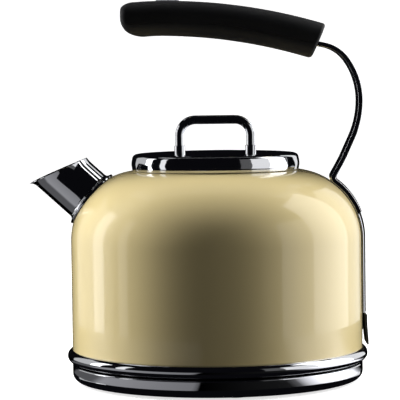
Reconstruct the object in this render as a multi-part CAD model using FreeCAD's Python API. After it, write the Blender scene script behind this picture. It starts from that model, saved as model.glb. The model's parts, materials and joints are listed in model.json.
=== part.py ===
"""Electric kettle on a round power base.

Frame: origin on the body's axis at the surface the base stands on, +Z up,
+X towards the handle strap, -X towards the spout. Millimetres throughout.
Every piece is its own solid, written to parts/ under its node name.
"""
import FreeCAD, Part
import math
import os

V = FreeCAD.Vector

# ---------------------------------------------------------------- dimensions
FIT = 0.05                  # seating gap between pieces fixed to each other
RUN = 0.05                  # radial running clearance of a pin in its bore
SEAM_ANGLE = -65.0          # direction in which the turned surfaces close

# power base
BASE_TOP_Z = 13.0           # top of the chromed band
BASE_LOW_Z = 1.5            # underside of the band
BAND_WALL = 1.1
BAND_EDGE_R = 1.0           # rounding of the band's top edge
BAND_CORNER_R = 5.5         # rounding of the band's bottom edge
BAND_LIP = 3.4              # inward lips that hold deck and floor
BASE_SKIN = 1.5             # thickness of deck and floor
DECK_Z = 11.2               # deck surface
SEAT_Z = 12.6               # raised ring that carries the kettle
SEAT_WIDTH = 9.0
FLOOR_Z = 2.2               # underside of the floor plate
FOOT_R = 8.5
FOOT_STEM_R = 2.6
FOOT_IN = 21.0              # foot centres inside the body's outer surface
FOOT_ANGLES = (-82.0, 8.0, 98.0, 188.0)
BASE_SCREW_IN = 38.0
BASE_SCREW_ANGLES = (-40.0, 50.0, 140.0, 230.0)
BASE_SCREW_LENGTH = 6.1
SCREW_R = 1.25              # shank of the small self-tapping screws
SCREW_HEAD_R = 2.8
SCREW_HEAD_T = 1.2
SCREW_SLOT_HALF = 0.4
SCREW_DROP = 0.05           # head below the floor of its counterbore's mouth
HEAD_GAP = 0.2              # round a screw head in its counterbore
SHANK_GAP = 0.3             # round a screw shank in a clearance hole
BOSS_R = 3.5                # screw bosses under the deck

# cable outlet in the base, towards +Y
OUTLET_BORE_R = 3.2
OUTLET_Z = 6.9
OUTLET_COLLAR_R = 4.3
OUTLET_BLOCK_HALF = 4.6
OUTLET_LENGTH = 16.0

# round connector between base and kettle
BLOCK_R = 17.0
BLOCK_TOP_Z = 21.0
BLOCK_LOW_Z = 6.0
BLOCK_FLANGE = 7.0          # flange beyond the block, under the deck
BLOCK_GAP = 0.2             # block in the deck's hole
SLOT_FLOOR_Z = 12.0         # bottom of the contact slots
SLOT_DEPTH_GAP = 2.5        # kettle contacts stop this far above the slot floor
CONTACT_GAP = 0.4           # between a kettle contact and its base contact
CONTACT_WALL = 0.8          # kettle side contact rings
SPRING_WALL = 0.45          # base side contact rings
NEUTRAL_R = 2.3             # outside radius of the kettle's centre pin
LINE_R = 8.1                # outside radius of the line ring
EARTH_R = 13.7              # outside radius of the earth ring
COLLAR_WALL = 2.4
COLLAR_HEIGHT = 4.0
GLIDE = 0.35                # clearance between turning pieces and their guides
RECESS_CEILING_Z = 22.0     # ceiling of the recess in the kettle's underside

# kettle body
BODY_R = 98.0
BODY_WALL = 0.9
BODY_TOP_Z = 142.5
SHOULDER_R = 47.0
BEAD_R = 4.4                # radius of the rolled bead's section
BEAD_PROUD = 3.3            # how far the bead stands out of the body
BEAD_GAP = 1.2              # shadow gap between bead and base band
BEAD_FLANGE = 0.9
COVER_SKIN = 1.7
COVER_FOOT_WIDTH = 6.0
STUD_IN = 22.0              # stud centres inside the body's outer surface
STUD_ANGLES = (60.0, 180.0, 300.0)
STUD_R = 3.5
COVER_SCREW_LENGTH = 12.0
COVER_EDGE_IN = 6.3         # cover's visible rim inside the body's outer surface

# neck and lid
NECK_R = 49.0
NECK_WALL = 0.9
NECK_DEPTH = 9.0
NECK_FLANGE = 3.4
NECK_FLANGE_T = 0.8
LID_OVERHANG = 7.0          # lid's rim beyond the filling hole
LID_HEIGHT = 12.4
LID_WALL = 0.9
LID_CORNER = 3.4
LID_CROWN = 1.5
LID_BULGE = 0.6
LID_GAP = 0.3               # air between the lid's rim and the shoulder
PLUG_DEPTH = 12.3
PLUG_WALL = 1.2
SEAL_GAP = 0.4
ROD_R = 3.0                 # lid handle
ROD_SPAN = 47.8             # distance between the legs' centres
ROD_HEIGHT = 21.1           # top centreline above the cap
ROD_BEND_R = 10.5
ROD_STUD_R = 2.0
FERRULE_R = 4.1
FERRULE_HEIGHT = 4.2

# spout and filter
SPOUT_SEAT_ANGLE = 41.0     # where the axis meets the shoulder
SPOUT_RISE = 42.5           # slope of the spout
SPOUT_R = 18.0
SPOUT_WALL = 1.1
SPOUT_LENGTH = 25.5         # along the axis from the shoulder to the mouth
MOUTH_SLOPE = 22.5          # slope of the mouth plane
MOUTH_RIM = 0.6
SPOUT_FLANGE = 3.2
SPOUT_FLANGE_T = 1.1
GASKET_T = 0.6
POUR_LEDGE = 2.5            # body left inside the spout round the pouring hole
FILTER_GAP = 0.6            # filter sleeve in the pouring hole
FILTER_WALL = 1.1
FILTER_LENGTH = 9.5
FILTER_FLANGE = 3.0
FILTER_DEPTH = 8.6          # inner face of the filter, behind the shoulder
MESH_T = 0.4

# heater and control, in the dry space under the water floor
PLATE_Z = 50.0              # top of the water floor
PLATE_T = 0.8
PLATE_RIM = 4.0
PLATE_SEAL_T = 1.5
SPREADER_IN = 32.0          # spreader's rim inside the body's outer surface
SPREADER_T = 2.8
ELEMENT_IN = 12.0           # element's centre line inside the spreader's rim
ELEMENT_R = 3.8
ELEMENT_HALF_GAP = 15.0     # degrees left open on each side of -X
TERMINAL_R = 1.6
TERMINAL_LOW_Z = 30.0
CONTROL_X = 25.0
CONTROL_Y = 21.0
CONTROL_LOW_Z = 25.5
BIMETAL_R = 9.5
BIMETAL_T = 0.6
LEAD_R = 1.1

# steam path
STEAM_IN = 26.0             # tube's axis inside the body's outer surface
STEAM_TUBE_R = 4.0
STEAM_TUBE_WALL = 0.8
GROMMET_WALL = 1.15
STEAM_TOP_DROP = 24.0       # top of the tube below the top of the body
CHAMBER_R = 12.0
CHAMBER_LOW_Z = 33.2
CHAMBER_HEIGHT = 7.8
STEAM_BIMETAL_R = 10.0

# switch
PIVOT_IN = 6.0              # lever pivot inside the body's outer surface
PIVOT_Z = 40.0
PIVOT_R = 1.2
LEVER_HUB_R = 3.0
LEVER_HALF = 3.3
PADDLE_HALF = 14.0
PADDLE_TOP_Z = 44.9
PADDLE_LOW_Z = 24.2
BEZEL_T = 0.5
BEZEL_SIDE = 1.0            # switch panel beyond the strap, each side
WINDOW_HALF = 4.9
WINDOW_Z = (33.5, 44.0)
ROCKER_PIVOT_IN = 38.0
ROCKER_Z = 30.0
ROCKER_HALF = 5.5
ROCKER_T = 2.0
TIP_IN = 20.5               # lever tip inside the body's outer surface
TIP_R = 1.2
TIP_GAP = 0.4

# strap, spine and grip
STRAP_T = 3.0
STRAP_HALF = 14.0
STRAP_PAD_T = 0.5           # bonding pad between steel and enamel
STRAP_FOOT_ANGLE = 55.0     # where the strap leaves the shoulder
STRAP_FOOT_RISE = 17.0      # strap's lower end above the start of the shoulder
STRAP_LEAN = 65.5           # slope of the straight run above the bend
STRAP_RUN = 30.5
STRAP_BENDS = ((24.5, 60.0), (35.0, 47.0), (43.0, 25.0))
TANG_RUN = 58.0
TANG_BEND = (12.0, 150.0)
TANG_END = 28.0
STRAP_SCREW_ANGLES = (27.0, 44.0)
STRAP_SCREW_R = 1.9
BACKING_T = 1.2
SPINE_T = 2.0
SPINE_SIDE = 2.0            # spine beyond the strap, each side
SPINE_LOW_Z = 46.0
GRIP_HEIGHT = 24.6
GRIP_SIDE = 2.5             # grip beyond the strap, each side
GRIP_SECTION_R = 10.0
GRIP_ARC_R = 369.8          # radius of the grip's top line
GRIP_CREST = 108.8          # from the strap's exit back to the crest of the grip
GRIP_CREST_RISE = 30.7      # crest above the strap's exit
GRIP_REACH = 135.9          # from the strap's exit to the nose
GRIP_END_LEAN = 66.0        # slope of the end face
GRIP_END_BACK = 4.7         # end face behind the strap's exit from its last bend
GRIP_WALL = 2.6
NOSE_R = 7.0
TAIL_R = 2.0
GRIP_SCREW_BACK = (54.0, 108.0)
GRIP_SCREW_R = 1.9
GRIP_BOSS_R = 4.5
PAD_BACK = 104.3            # centre of the thumb pad, back from the exit
PAD_HALF = 8.0
PAD_PROUD = 0.8

# ------------------------------------------------------------ derived sizes
BODY_IN_R = BODY_R - BODY_WALL
SHOULDER_X = BODY_R - SHOULDER_R
SHOULDER_Z = BODY_TOP_Z - SHOULDER_R
BEAD_Z = BASE_TOP_Z + BEAD_GAP + BEAD_R
BEAD_CENTRE_R = BODY_R + BEAD_PROUD - BEAD_R
BEAD_LOW_Z = BEAD_Z - BEAD_R
SHELL_LOW_Z = BEAD_LOW_Z + BEAD_FLANGE + FIT
COVER_LOW_Z = BEAD_LOW_Z + 0.1
PLATE_LOW_Z = PLATE_Z - PLATE_T
SPREADER_LOW_Z = PLATE_LOW_Z - SPREADER_T
DECK_LOW_Z = DECK_Z - BASE_SKIN
FLOOR_TOP_Z = FLOOR_Z + BASE_SKIN + 0.5
BAND_IN_R = BODY_R - BAND_WALL
BAND_LIP_R = BODY_R - BAND_CORNER_R - BAND_LIP - 0.6
FOOT_RING_R = BODY_R - 10.0
COLLAR_R = BLOCK_R + GLIDE + COLLAR_WALL
RECESS_R = COLLAR_R + GLIDE
NECK_HOLE_R = NECK_R + NECK_WALL + FIT
LID_R = NECK_R + LID_OVERHANG
FOOT_CIRCLE_R = BODY_R - FOOT_IN
BASE_SCREW_CIRCLE_R = BODY_R - BASE_SCREW_IN
BLOCK_FLANGE_R = BLOCK_R + BLOCK_FLANGE
STUD_CIRCLE_R = BODY_R - STUD_IN
POUR_HOLE_R = SPOUT_R - POUR_LEDGE
FILTER_R = POUR_HOLE_R - FILTER_GAP
SPREADER_R = BODY_R - SPREADER_IN
ELEMENT_CIRCLE_R = SPREADER_R - ELEMENT_IN
STEAM_X = BODY_R - STEAM_IN
ROCKER_PIVOT_X = BODY_R - ROCKER_PIVOT_IN
STRAP_FOOT_Z = SHOULDER_Z + STRAP_FOOT_RISE
SPINE_HALF = STRAP_HALF + SPINE_SIDE
BEZEL_HALF = STRAP_HALF + BEZEL_SIDE
GRIP_HALF = STRAP_HALF + GRIP_SIDE


def shoulder_top(radius):
    """Height of the body's outer surface at a radius near the neck."""
    reach = max(0.0, radius - SHOULDER_X)
    return SHOULDER_Z + math.sqrt(SHOULDER_R ** 2 - reach ** 2)


NECK_Z = shoulder_top(NECK_HOLE_R)
LID_SEAT_Z = NECK_Z + NECK_FLANGE_T
LID_LOW_Z = shoulder_top(LID_R - LID_WALL) + LID_GAP
LID_TOP_Z = LID_LOW_Z + LID_HEIGHT
LID_IN_R = LID_R - LID_WALL
PLUG_LOW_Z = LID_SEAT_Z - PLUG_DEPTH
PLUG_R = NECK_R - 2.2
PIVOT_X = BODY_R - PIVOT_IN
TIP_X = BODY_R - TIP_IN
TIP_Z = ROCKER_Z - ROCKER_T / 2 - TIP_GAP - TIP_R
RISE = math.radians(SPOUT_RISE)
SPOUT_DIR = V(-math.cos(RISE), 0, math.sin(RISE))


# ------------------------------------------------------------------ helpers
def outline(start, *steps):
    """Closed wire in the XZ plane; a step is a point, or (middle, end) of an arc."""
    here = V(start[0], 0, start[1])
    first = here
    edges = []
    for step in steps:
        if isinstance(step[0], tuple):
            middle = V(step[0][0], 0, step[0][1])
            end = V(step[1][0], 0, step[1][1])
            edges.append(Part.Arc(here, middle, end).toShape())
        else:
            end = V(step[0], 0, step[1])
            edges.append(Part.makeLine(here, end))
        here = end
    if here.distanceToPoint(first) > 1e-6:
        edges.append(Part.makeLine(here, first))
    return Part.Wire(edges)


def turned(start, *steps):
    """Solid turned about the Z axis from (radius, height); its seam is clear of features."""
    face = Part.Face(outline(start, *steps))
    face.rotate(V(0, 0, 0), V(0, 0, 1), SEAM_ANGLE)
    return face.revolve(V(0, 0, 0), V(0, 0, 1), 360)


def plate(half, start, *steps):
    """Solid with an XZ outline, reaching half to each side of the middle plane."""
    face = Part.Face(outline(start, *steps))
    face.translate(V(0, -half, 0))
    return face.extrude(V(0, 2 * half, 0))


def block(x_low, x_high, y_low, y_high, z_low, z_high):
    corner = V(x_low, y_low, z_low)
    return Part.makeBox(x_high - x_low, y_high - y_low, z_high - z_low, corner)


def disc(radius, z_low, z_high, x=0.0, y=0.0):
    return Part.makeCylinder(radius, z_high - z_low, V(x, y, z_low))


def ring(r_in, r_out, z_low, z_high, x=0.0, y=0.0):
    return disc(r_out, z_low, z_high, x, y).cut(disc(r_in, z_low - 1, z_high + 1, x, y))


def rod(start, end, radius):
    path = end - start
    return Part.makeCylinder(radius, path.Length, start, path)


def cross_rod(x, z, radius, half):
    """Cylinder along Y, centred on the middle plane."""
    return rod(V(x, -half, z), V(x, half, z), radius)


def around(shape, angles):
    """Copies of a shape turned about the Z axis."""
    copies = []
    for angle in angles:
        copy = shape.copy()
        copy.rotate(V(0, 0, 0), V(0, 0, 1), angle)
        copies.append(copy)
    return copies


def joined(*shapes):
    solid = shapes[0].fuse(list(shapes[1:])).removeSplitter()
    return solid.Solids[0] if len(solid.Solids) == 1 else solid


def corner(centre, radius, angle):
    """Point of an arc in the XZ plane, as a pair."""
    turn = math.radians(angle)
    return (centre[0] + radius * math.cos(turn), centre[1] + radius * math.sin(turn))


def body_form(offset):
    """The body's outer form as one solid, grown outwards by an offset."""
    centre = (SHOULDER_X, SHOULDER_Z)
    radius = SHOULDER_R + offset
    return turned((0, SHELL_LOW_Z), (BODY_R + offset, SHELL_LOW_Z), (BODY_R + offset, SHOULDER_Z),
                  (corner(centre, radius, 45), corner(centre, radius, 90)), (0, BODY_TOP_Z + offset))


def body_skin(inner, outer):
    """Layer that follows the body between two offsets."""
    return body_form(outer).cut(body_form(inner))


def back_strip(inner, outer, half, z_low, z_high):
    """Strip of such a layer down the back of the body."""
    return body_skin(inner, outer).common(block(0, 2 * BODY_R, -half, half, z_low, z_high))


def shoulder_point(radius, angle, y=0.0):
    """Point on a ray from the shoulder's centre, on the handle side."""
    x, z = corner((SHOULDER_X, SHOULDER_Z), radius, angle)
    return V(x, y, z)


def spout_rod(radius, low, high):
    """Cylinder on the spout's axis; distances count from the shoulder outwards."""
    return rod(SPOUT_SEAT + SPOUT_DIR * low, SPOUT_SEAT + SPOUT_DIR * high, radius)


def spout_ring(r_in, r_out, low, high):
    return spout_rod(r_out, low, high).cut(spout_rod(r_in, low - 1, high + 1))


SEAT_X, SEAT_HEIGHT = corner((SHOULDER_X, SHOULDER_Z), SHOULDER_R, SPOUT_SEAT_ANGLE)
SPOUT_SEAT = V(-SEAT_X, 0, SEAT_HEIGHT)


# --------------------------------------------------------------- power base
def small_screw(head_z, length):
    """Pan screw pointing up, with its head's lower face at head_z."""
    half = SCREW_SLOT_HALF
    head = disc(SCREW_HEAD_R, head_z, head_z + SCREW_HEAD_T)
    slot = block(-SCREW_HEAD_R, SCREW_HEAD_R, -half, half, head_z - 1, head_z + SCREW_HEAD_T / 2)
    shank = disc(SCREW_R, head_z + SCREW_HEAD_T / 2, head_z + length)
    return joined(head, shank).cut(slot)


def screw_room(skin_low, skin_top, radius):
    """Counterbore and clearance hole for a small screw through a skin."""
    head_top = skin_low + SCREW_HEAD_T + SCREW_DROP
    head_room = disc(SCREW_HEAD_R + HEAD_GAP, skin_low - 1, head_top, radius)
    return joined(head_room, disc(SCREW_R + SHANK_GAP, skin_low, skin_top + 1, radius))


def make_band():
    outer = BODY_R
    edge = (outer - BAND_EDGE_R, BASE_TOP_Z - BAND_EDGE_R)
    low = (outer - BAND_CORNER_R, BASE_LOW_Z + BAND_CORNER_R)
    inner_r = BAND_CORNER_R - BAND_WALL
    lip_top = outer - BAND_WALL - BAND_LIP
    band = turned((lip_top, BASE_TOP_Z), (edge[0], BASE_TOP_Z),
                  (corner(edge, BAND_EDGE_R, 45), (outer, edge[1])), (outer, low[1]),
                  (corner(low, BAND_CORNER_R, -45), (low[0], BASE_LOW_Z)), (BAND_LIP_R, BASE_LOW_Z),
                  (BAND_LIP_R, BASE_LOW_Z + BAND_WALL), (low[0], BASE_LOW_Z + BAND_WALL),
                  (corner(low, inner_r, -45), (BAND_IN_R, low[1])),
                  (BAND_IN_R, BASE_TOP_Z - BAND_WALL), (lip_top, BASE_TOP_Z - BAND_WALL))
    return band.cut(rod(V(0, 0, OUTLET_Z), V(0, 2 * BODY_R, OUTLET_Z), OUTLET_COLLAR_R + FIT))


def outlet_notch():
    """Room that deck and floor leave for the cable outlet's block."""
    half = OUTLET_BLOCK_HALF + FIT
    inner_end = BODY_R - OUTLET_LENGTH + 2.0 - FIT
    return block(-half, half, inner_end, BODY_R, FLOOR_Z - 1, BASE_TOP_Z)


def make_deck():
    hole_r = BLOCK_R + BLOCK_GAP
    seat_out = FOOT_RING_R + 1.0
    seat_in = seat_out - SEAT_WIDTH
    lip = BODY_R - BAND_WALL - BAND_LIP - 0.3
    flange_z = BASE_TOP_Z - BAND_WALL - 2 * FIT
    deck = turned((hole_r, DECK_LOW_Z), (hole_r, DECK_Z), (seat_in - 1, DECK_Z),
                  (seat_in, SEAT_Z), (seat_out, SEAT_Z), (seat_out + 1, DECK_Z), (lip, DECK_Z),
                  (lip, flange_z), (BAND_IN_R - 0.3, flange_z), (BAND_IN_R - 0.3, DECK_LOW_Z))
    boss = ring(SCREW_R + FIT, BOSS_R, FLOOR_TOP_Z, DECK_LOW_Z, BASE_SCREW_CIRCLE_R)
    return joined(deck, *around(boss, BASE_SCREW_ANGLES)).cut(outlet_notch())


def make_floor():
    low_r = BAND_LIP_R - 0.2
    lip_z = BASE_LOW_Z + BAND_WALL + 0.1
    wide_r = low_r + BAND_LIP
    floor = turned((0, FLOOR_Z), (low_r, FLOOR_Z), (low_r, lip_z), (wide_r, lip_z),
                   (wide_r, FLOOR_TOP_Z), (0, FLOOR_TOP_Z))
    cradle = ring(BLOCK_R + 2.5, BLOCK_R + 4.5, FLOOR_TOP_Z - 0.5, DECK_LOW_Z - BASE_SKIN - 2 * FIT)
    stem_room = disc(FOOT_STEM_R + FIT, FLOOR_Z - 1, FLOOR_TOP_Z + 1, FOOT_CIRCLE_R)
    centre_room = disc(FOOT_STEM_R + FIT, FLOOR_Z - 1, FLOOR_TOP_Z + 1)
    holes = around(screw_room(FLOOR_Z, FLOOR_TOP_Z, BASE_SCREW_CIRCLE_R), BASE_SCREW_ANGLES)
    holes += around(stem_room, FOOT_ANGLES) + [centre_room, outlet_notch()]
    return joined(floor, cradle).cut(holes)


def make_foot():
    """Rubber foot: flat pad below, waisted stem and lip above the floor."""
    pad = turned((0, 0), (FOOT_R - 0.6, 0), (FOOT_R, 0.6), (FOOT_R, FLOOR_Z), (0, FLOOR_Z))
    stem = disc(FOOT_STEM_R, FLOOR_Z - 0.5, FLOOR_TOP_Z + FIT)
    lip = disc(FOOT_STEM_R + 0.8, FLOOR_TOP_Z + FIT, FLOOR_TOP_Z + 0.9)
    return joined(pad, stem, lip)


def make_feet():
    foot = make_foot()
    foot.translate(V(FOOT_CIRCLE_R, 0, 0))
    return Part.makeCompound(around(foot, FOOT_ANGLES) + [make_foot()])


def make_base_screws():
    screw = small_screw(FLOOR_Z, BASE_SCREW_LENGTH)
    screw.translate(V(BASE_SCREW_CIRCLE_R, 0, 0))
    return Part.makeCompound(around(screw, BASE_SCREW_ANGLES))


def contact_tail(radius, angle, gap=0.0):
    """Solder tail under a contact ring."""
    inner = radius - SPRING_WALL - gap
    tail = block(inner, radius + gap, -1.2 - gap, 1.2 + gap, FLOOR_TOP_Z + 1.2 - 5 * gap,
                 SLOT_FLOOR_Z + 0.1)
    return around(tail, (angle,))[0]


def base_contact(kettle_radius, angle):
    """Sprung ring that stands round a contact of the kettle."""
    inner = kettle_radius + CONTACT_GAP
    outer = inner + SPRING_WALL
    sleeve = ring(inner, outer, SLOT_FLOOR_Z, BLOCK_TOP_Z - 1.5)
    return joined(sleeve, contact_tail(outer, angle))


CONTACTS = ((NEUTRAL_R, 0.0), (LINE_R, 120.0), (EARTH_R, 240.0))


def make_connector_block():
    solid = joined(disc(BLOCK_R, BLOCK_LOW_Z, BLOCK_TOP_Z),
                   disc(BLOCK_FLANGE_R, DECK_LOW_Z - BASE_SKIN - FIT, DECK_LOW_Z - FIT))
    top = BLOCK_TOP_Z + 1
    for radius, angle in CONTACTS:
        outer = radius + CONTACT_GAP + SPRING_WALL
        inner = radius - CONTACT_WALL - 0.9
        slot = disc(outer + FIT, SLOT_FLOOR_Z, top)
        if radius != NEUTRAL_R:
            slot = ring(inner, outer + FIT, SLOT_FLOOR_Z, top)
        solid = solid.cut(slot).cut(contact_tail(outer, angle, FIT))
    return solid


def make_cord_gland():
    """Square block between floor and deck with a round collar through the band."""
    inner_end = BODY_R - OUTLET_LENGTH + 2.0
    half = OUTLET_BLOCK_HALF
    step_z = BASE_LOW_Z + BAND_WALL + 2.0
    body = joined(block(-half, half, inner_end, BAND_LIP_R - 0.3, FLOOR_Z + 0.2, step_z),
                  block(-half, half, inner_end, BAND_IN_R - 1.7, step_z, DECK_Z - 0.1))
    collar = rod(V(0, inner_end + 2, OUTLET_Z), V(0, BODY_R + 2.0, OUTLET_Z), OUTLET_COLLAR_R)
    bore = rod(V(0, 0, OUTLET_Z), V(0, 2 * BODY_R, OUTLET_Z), OUTLET_BORE_R)
    return joined(body, collar).cut(bore)


def make_glide_collar():
    """Loose ring round the connector block; it turns with the kettle."""
    inner = BLOCK_R + GLIDE
    top = DECK_Z + COLLAR_HEIGHT
    return turned((inner, DECK_Z), (COLLAR_R, DECK_Z), (COLLAR_R, top - 1), (COLLAR_R - 1, top),
                  (inner, top))


# -------------------------------------------------------------- kettle body
def make_body_shell():
    inner_form = body_form(-BODY_WALL)
    inner_form = inner_form.fuse(disc(BODY_IN_R, SHELL_LOW_Z - 5, SHOULDER_Z)).removeSplitter()
    shell = body_form(0).cut(inner_form)
    neck = disc(NECK_HOLE_R, SHOULDER_Z, BODY_TOP_Z + 5)
    pour_hole = spout_rod(POUR_HOLE_R, -15, 15)
    half = WINDOW_HALF + 0.2
    window = block(0, 2 * BODY_R, -half, half, WINDOW_Z[0] - 0.7, WINDOW_Z[1] + 0.7)
    return shell.cut([neck, pour_hole, window] + strap_holes(STRAP_SCREW_R + 0.2))


def make_bead_ring():
    inner = BODY_R + FIT
    top_z = BEAD_Z + math.sqrt(BEAD_R ** 2 - (inner - BEAD_CENTRE_R) ** 2)
    flange_r = BODY_R - 6.0
    return turned((flange_r, BEAD_LOW_Z), (BEAD_CENTRE_R, BEAD_LOW_Z),
                  ((BEAD_CENTRE_R + BEAD_R, BEAD_Z), (inner, top_z)),
                  (inner, BEAD_LOW_Z + BEAD_FLANGE), (flange_r, BEAD_LOW_Z + BEAD_FLANGE))


def make_neck_ring():
    """Rolled ring that lines the filling hole."""
    outer = NECK_R + NECK_WALL
    low = NECK_Z - NECK_DEPTH
    top = LID_SEAT_Z
    return turned((NECK_R, low), (outer, low), (outer, NECK_Z), (outer + NECK_FLANGE, NECK_Z),
                  (outer + NECK_FLANGE, top), (NECK_R + 0.5, top),
                  ((NECK_R + 0.15, top - 0.15), (NECK_R, top - 0.5)))


def make_bottom_cover():
    """Black cover under the kettle, with a standing ring and the connector recess."""
    edge = BODY_R - COVER_EDGE_IN
    flange_z = BEAD_LOW_Z + BEAD_FLANGE + FIT
    top = COVER_LOW_Z + COVER_SKIN
    foot_in = FOOT_RING_R - COVER_FOOT_WIDTH
    wall = RECESS_R + 1.5
    cover = turned((RECESS_R, COVER_LOW_Z), (foot_in, COVER_LOW_Z), (foot_in, SEAT_Z),
                   (FOOT_RING_R, SEAT_Z), (FOOT_RING_R, COVER_LOW_Z), (edge, COVER_LOW_Z),
                   (edge, flange_z), (BODY_IN_R - 0.3, flange_z), (BODY_IN_R - 0.3, flange_z + 1.4),
                   (BODY_R - 8, top), (wall, top), (wall, RECESS_CEILING_Z),
                   (RECESS_R, RECESS_CEILING_Z))
    return cover.cut(around(screw_room(COVER_LOW_Z, top, STUD_CIRCLE_R), STUD_ANGLES))


def make_cover_studs():
    stud = disc(STUD_R, COVER_LOW_Z + COVER_SKIN, PLATE_LOW_Z, STUD_CIRCLE_R)
    bore_top = COVER_LOW_Z + COVER_SCREW_LENGTH + 4
    bore = disc(SCREW_R + FIT, COVER_LOW_Z, bore_top, STUD_CIRCLE_R)
    return Part.makeCompound(around(stud.cut(bore), STUD_ANGLES))


def make_cover_screws():
    screw = small_screw(COVER_LOW_Z, COVER_SCREW_LENGTH)
    screw.translate(V(STUD_CIRCLE_R, 0, 0))
    return Part.makeCompound(around(screw, STUD_ANGLES))


# ----------------------------------------------------------------- spout
def mouth_cutter():
    """Everything above the slanted mouth plane."""
    centre = SPOUT_SEAT + SPOUT_DIR * SPOUT_LENGTH
    size = 8 * SPOUT_R
    cutter = Part.makeBox(size, size, size, V(-size / 2, -size / 2, 0))
    cutter.rotate(V(0, 0, 0), V(0, 1, 0), -MOUTH_SLOPE)
    cutter.translate(centre)
    return cutter


def make_spout():
    reach = SPOUT_LENGTH + SPOUT_R
    tube = spout_rod(SPOUT_R, -SPOUT_R, reach)
    above = mouth_cutter()
    below_rim = mouth_cutter()
    below_rim.translate(V(math.sin(math.radians(MOUTH_SLOPE)), 0,
                          -math.cos(math.radians(MOUTH_SLOPE))) * 1.2)
    rim = spout_rod(SPOUT_R + MOUTH_RIM, 0, reach).common(below_rim)
    flange = body_skin(GASKET_T, GASKET_T + SPOUT_FLANGE_T)
    flange = flange.common(spout_rod(SPOUT_R + SPOUT_FLANGE, -SPOUT_R, SPOUT_R))
    bore = spout_rod(SPOUT_R - SPOUT_WALL, -2 * SPOUT_R, 2 * reach)
    solid = joined(tube.cut(body_form(GASKET_T)), flange, rim)
    return solid.cut(above).cut(bore)


def make_spout_gasket():
    layer = body_skin(0, GASKET_T)
    return layer.common(spout_ring(POUR_HOLE_R + 0.6, SPOUT_R + SPOUT_FLANGE - 0.4, -SPOUT_R, SPOUT_R))


def make_filter_frame():
    low = -FILTER_DEPTH
    sleeve = spout_ring(FILTER_R - FILTER_WALL, FILTER_R, low, low + FILTER_LENGTH)
    flange = spout_ring(FILTER_R - FILTER_WALL, FILTER_R + FILTER_FLANGE, low, low + 1.4)
    ledge = spout_ring(FILTER_R - FILTER_WALL - 1.5, FILTER_R - 0.5, low + 1.4, low + 2.2)
    start = SPOUT_SEAT + SPOUT_DIR * (low - 5.0)
    pull_tab = rod(start, start + SPOUT_DIR * 5.5, 1.5)
    spokes = spout_rod(FILTER_R - 0.5, low, low + 1.4).common(spoke_cross())
    return joined(sleeve, flange, ledge, spokes, pull_tab)


def spoke_cross():
    """Two bars that carry the mesh and the pull tab."""
    size = 4 * SPOUT_R
    upright = Part.makeBox(size, 1.6, size, V(-size / 2, -0.8, -size / 2))
    level = Part.makeBox(size, size, 1.6, V(-size / 2, -size / 2, -0.8))
    level.rotate(V(0, 0, 0), V(0, 1, 0), SPOUT_RISE)
    cross = upright.fuse(level)
    cross.translate(SPOUT_SEAT)
    return cross


def make_filter_mesh():
    low = -FILTER_DEPTH + 2.2
    return spout_rod(FILTER_R - FILTER_WALL - 0.1, low, low + MESH_T)


# ------------------------------------------------------- heater and control
def make_element_plate():
    rim_r = BODY_IN_R - PLATE_SEAL_T - 2 * FIT
    low = PLATE_Z - PLATE_RIM
    floor = turned((0, PLATE_LOW_Z), (rim_r - PLATE_T, PLATE_LOW_Z), (rim_r - PLATE_T, low),
                   (rim_r, low), (rim_r, PLATE_Z), (0, PLATE_Z))
    return floor.cut(disc(STEAM_TUBE_R + GROMMET_WALL + FIT, PLATE_LOW_Z - 1, PLATE_Z + 1, STEAM_X))


def make_plate_seal():
    inner = BODY_IN_R - PLATE_SEAL_T - FIT
    return ring(inner, BODY_IN_R - FIT, PLATE_Z - PLATE_RIM, PLATE_Z + 0.8)


def make_heating_element():
    """Sheathed tube bent to an open ring, flattened where it meets the spreader."""
    start = 180 + ELEMENT_HALF_GAP
    section = Part.Face(Part.Wire(Part.makeCircle(ELEMENT_R, V(ELEMENT_CIRCLE_R, 0, element_z()),
                                                  V(0, 1, 0))))
    section.rotate(V(0, 0, 0), V(0, 0, 1), start)
    tube = section.revolve(V(0, 0, 0), V(0, 0, 1), 360 - 2 * ELEMENT_HALF_GAP)
    return tube.cut(make_heat_spreader())


def element_z():
    return SPREADER_LOW_Z - ELEMENT_R + 0.4


def make_heat_spreader():
    return disc(SPREADER_R, SPREADER_LOW_Z, PLATE_LOW_Z)


def terminal_place(side):
    turn = math.radians(180 - side * (ELEMENT_HALF_GAP + 3))
    return V(ELEMENT_CIRCLE_R * math.cos(turn), ELEMENT_CIRCLE_R * math.sin(turn), 0)


def make_element_terminals():
    tube = make_heating_element()
    pins = []
    for side in (1, -1):
        place = terminal_place(side)
        pins.append(disc(TERMINAL_R, TERMINAL_LOW_Z, element_z(), place.x, place.y).cut(tube))
    return Part.makeCompound(pins)


def make_element_leads():
    leads = []
    pins = make_element_terminals()
    control = make_control_body()
    for side in (1, -1):
        place = terminal_place(side)
        start = V(-CONTROL_X + 1, 0.45 * side * CONTROL_Y, TERMINAL_LOW_Z + 3)
        lead = rod(start, V(place.x, place.y, TERMINAL_LOW_Z + 3), LEAD_R)
        leads.append(lead.cut([pins, control]))
    return Part.makeCompound(leads)


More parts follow.
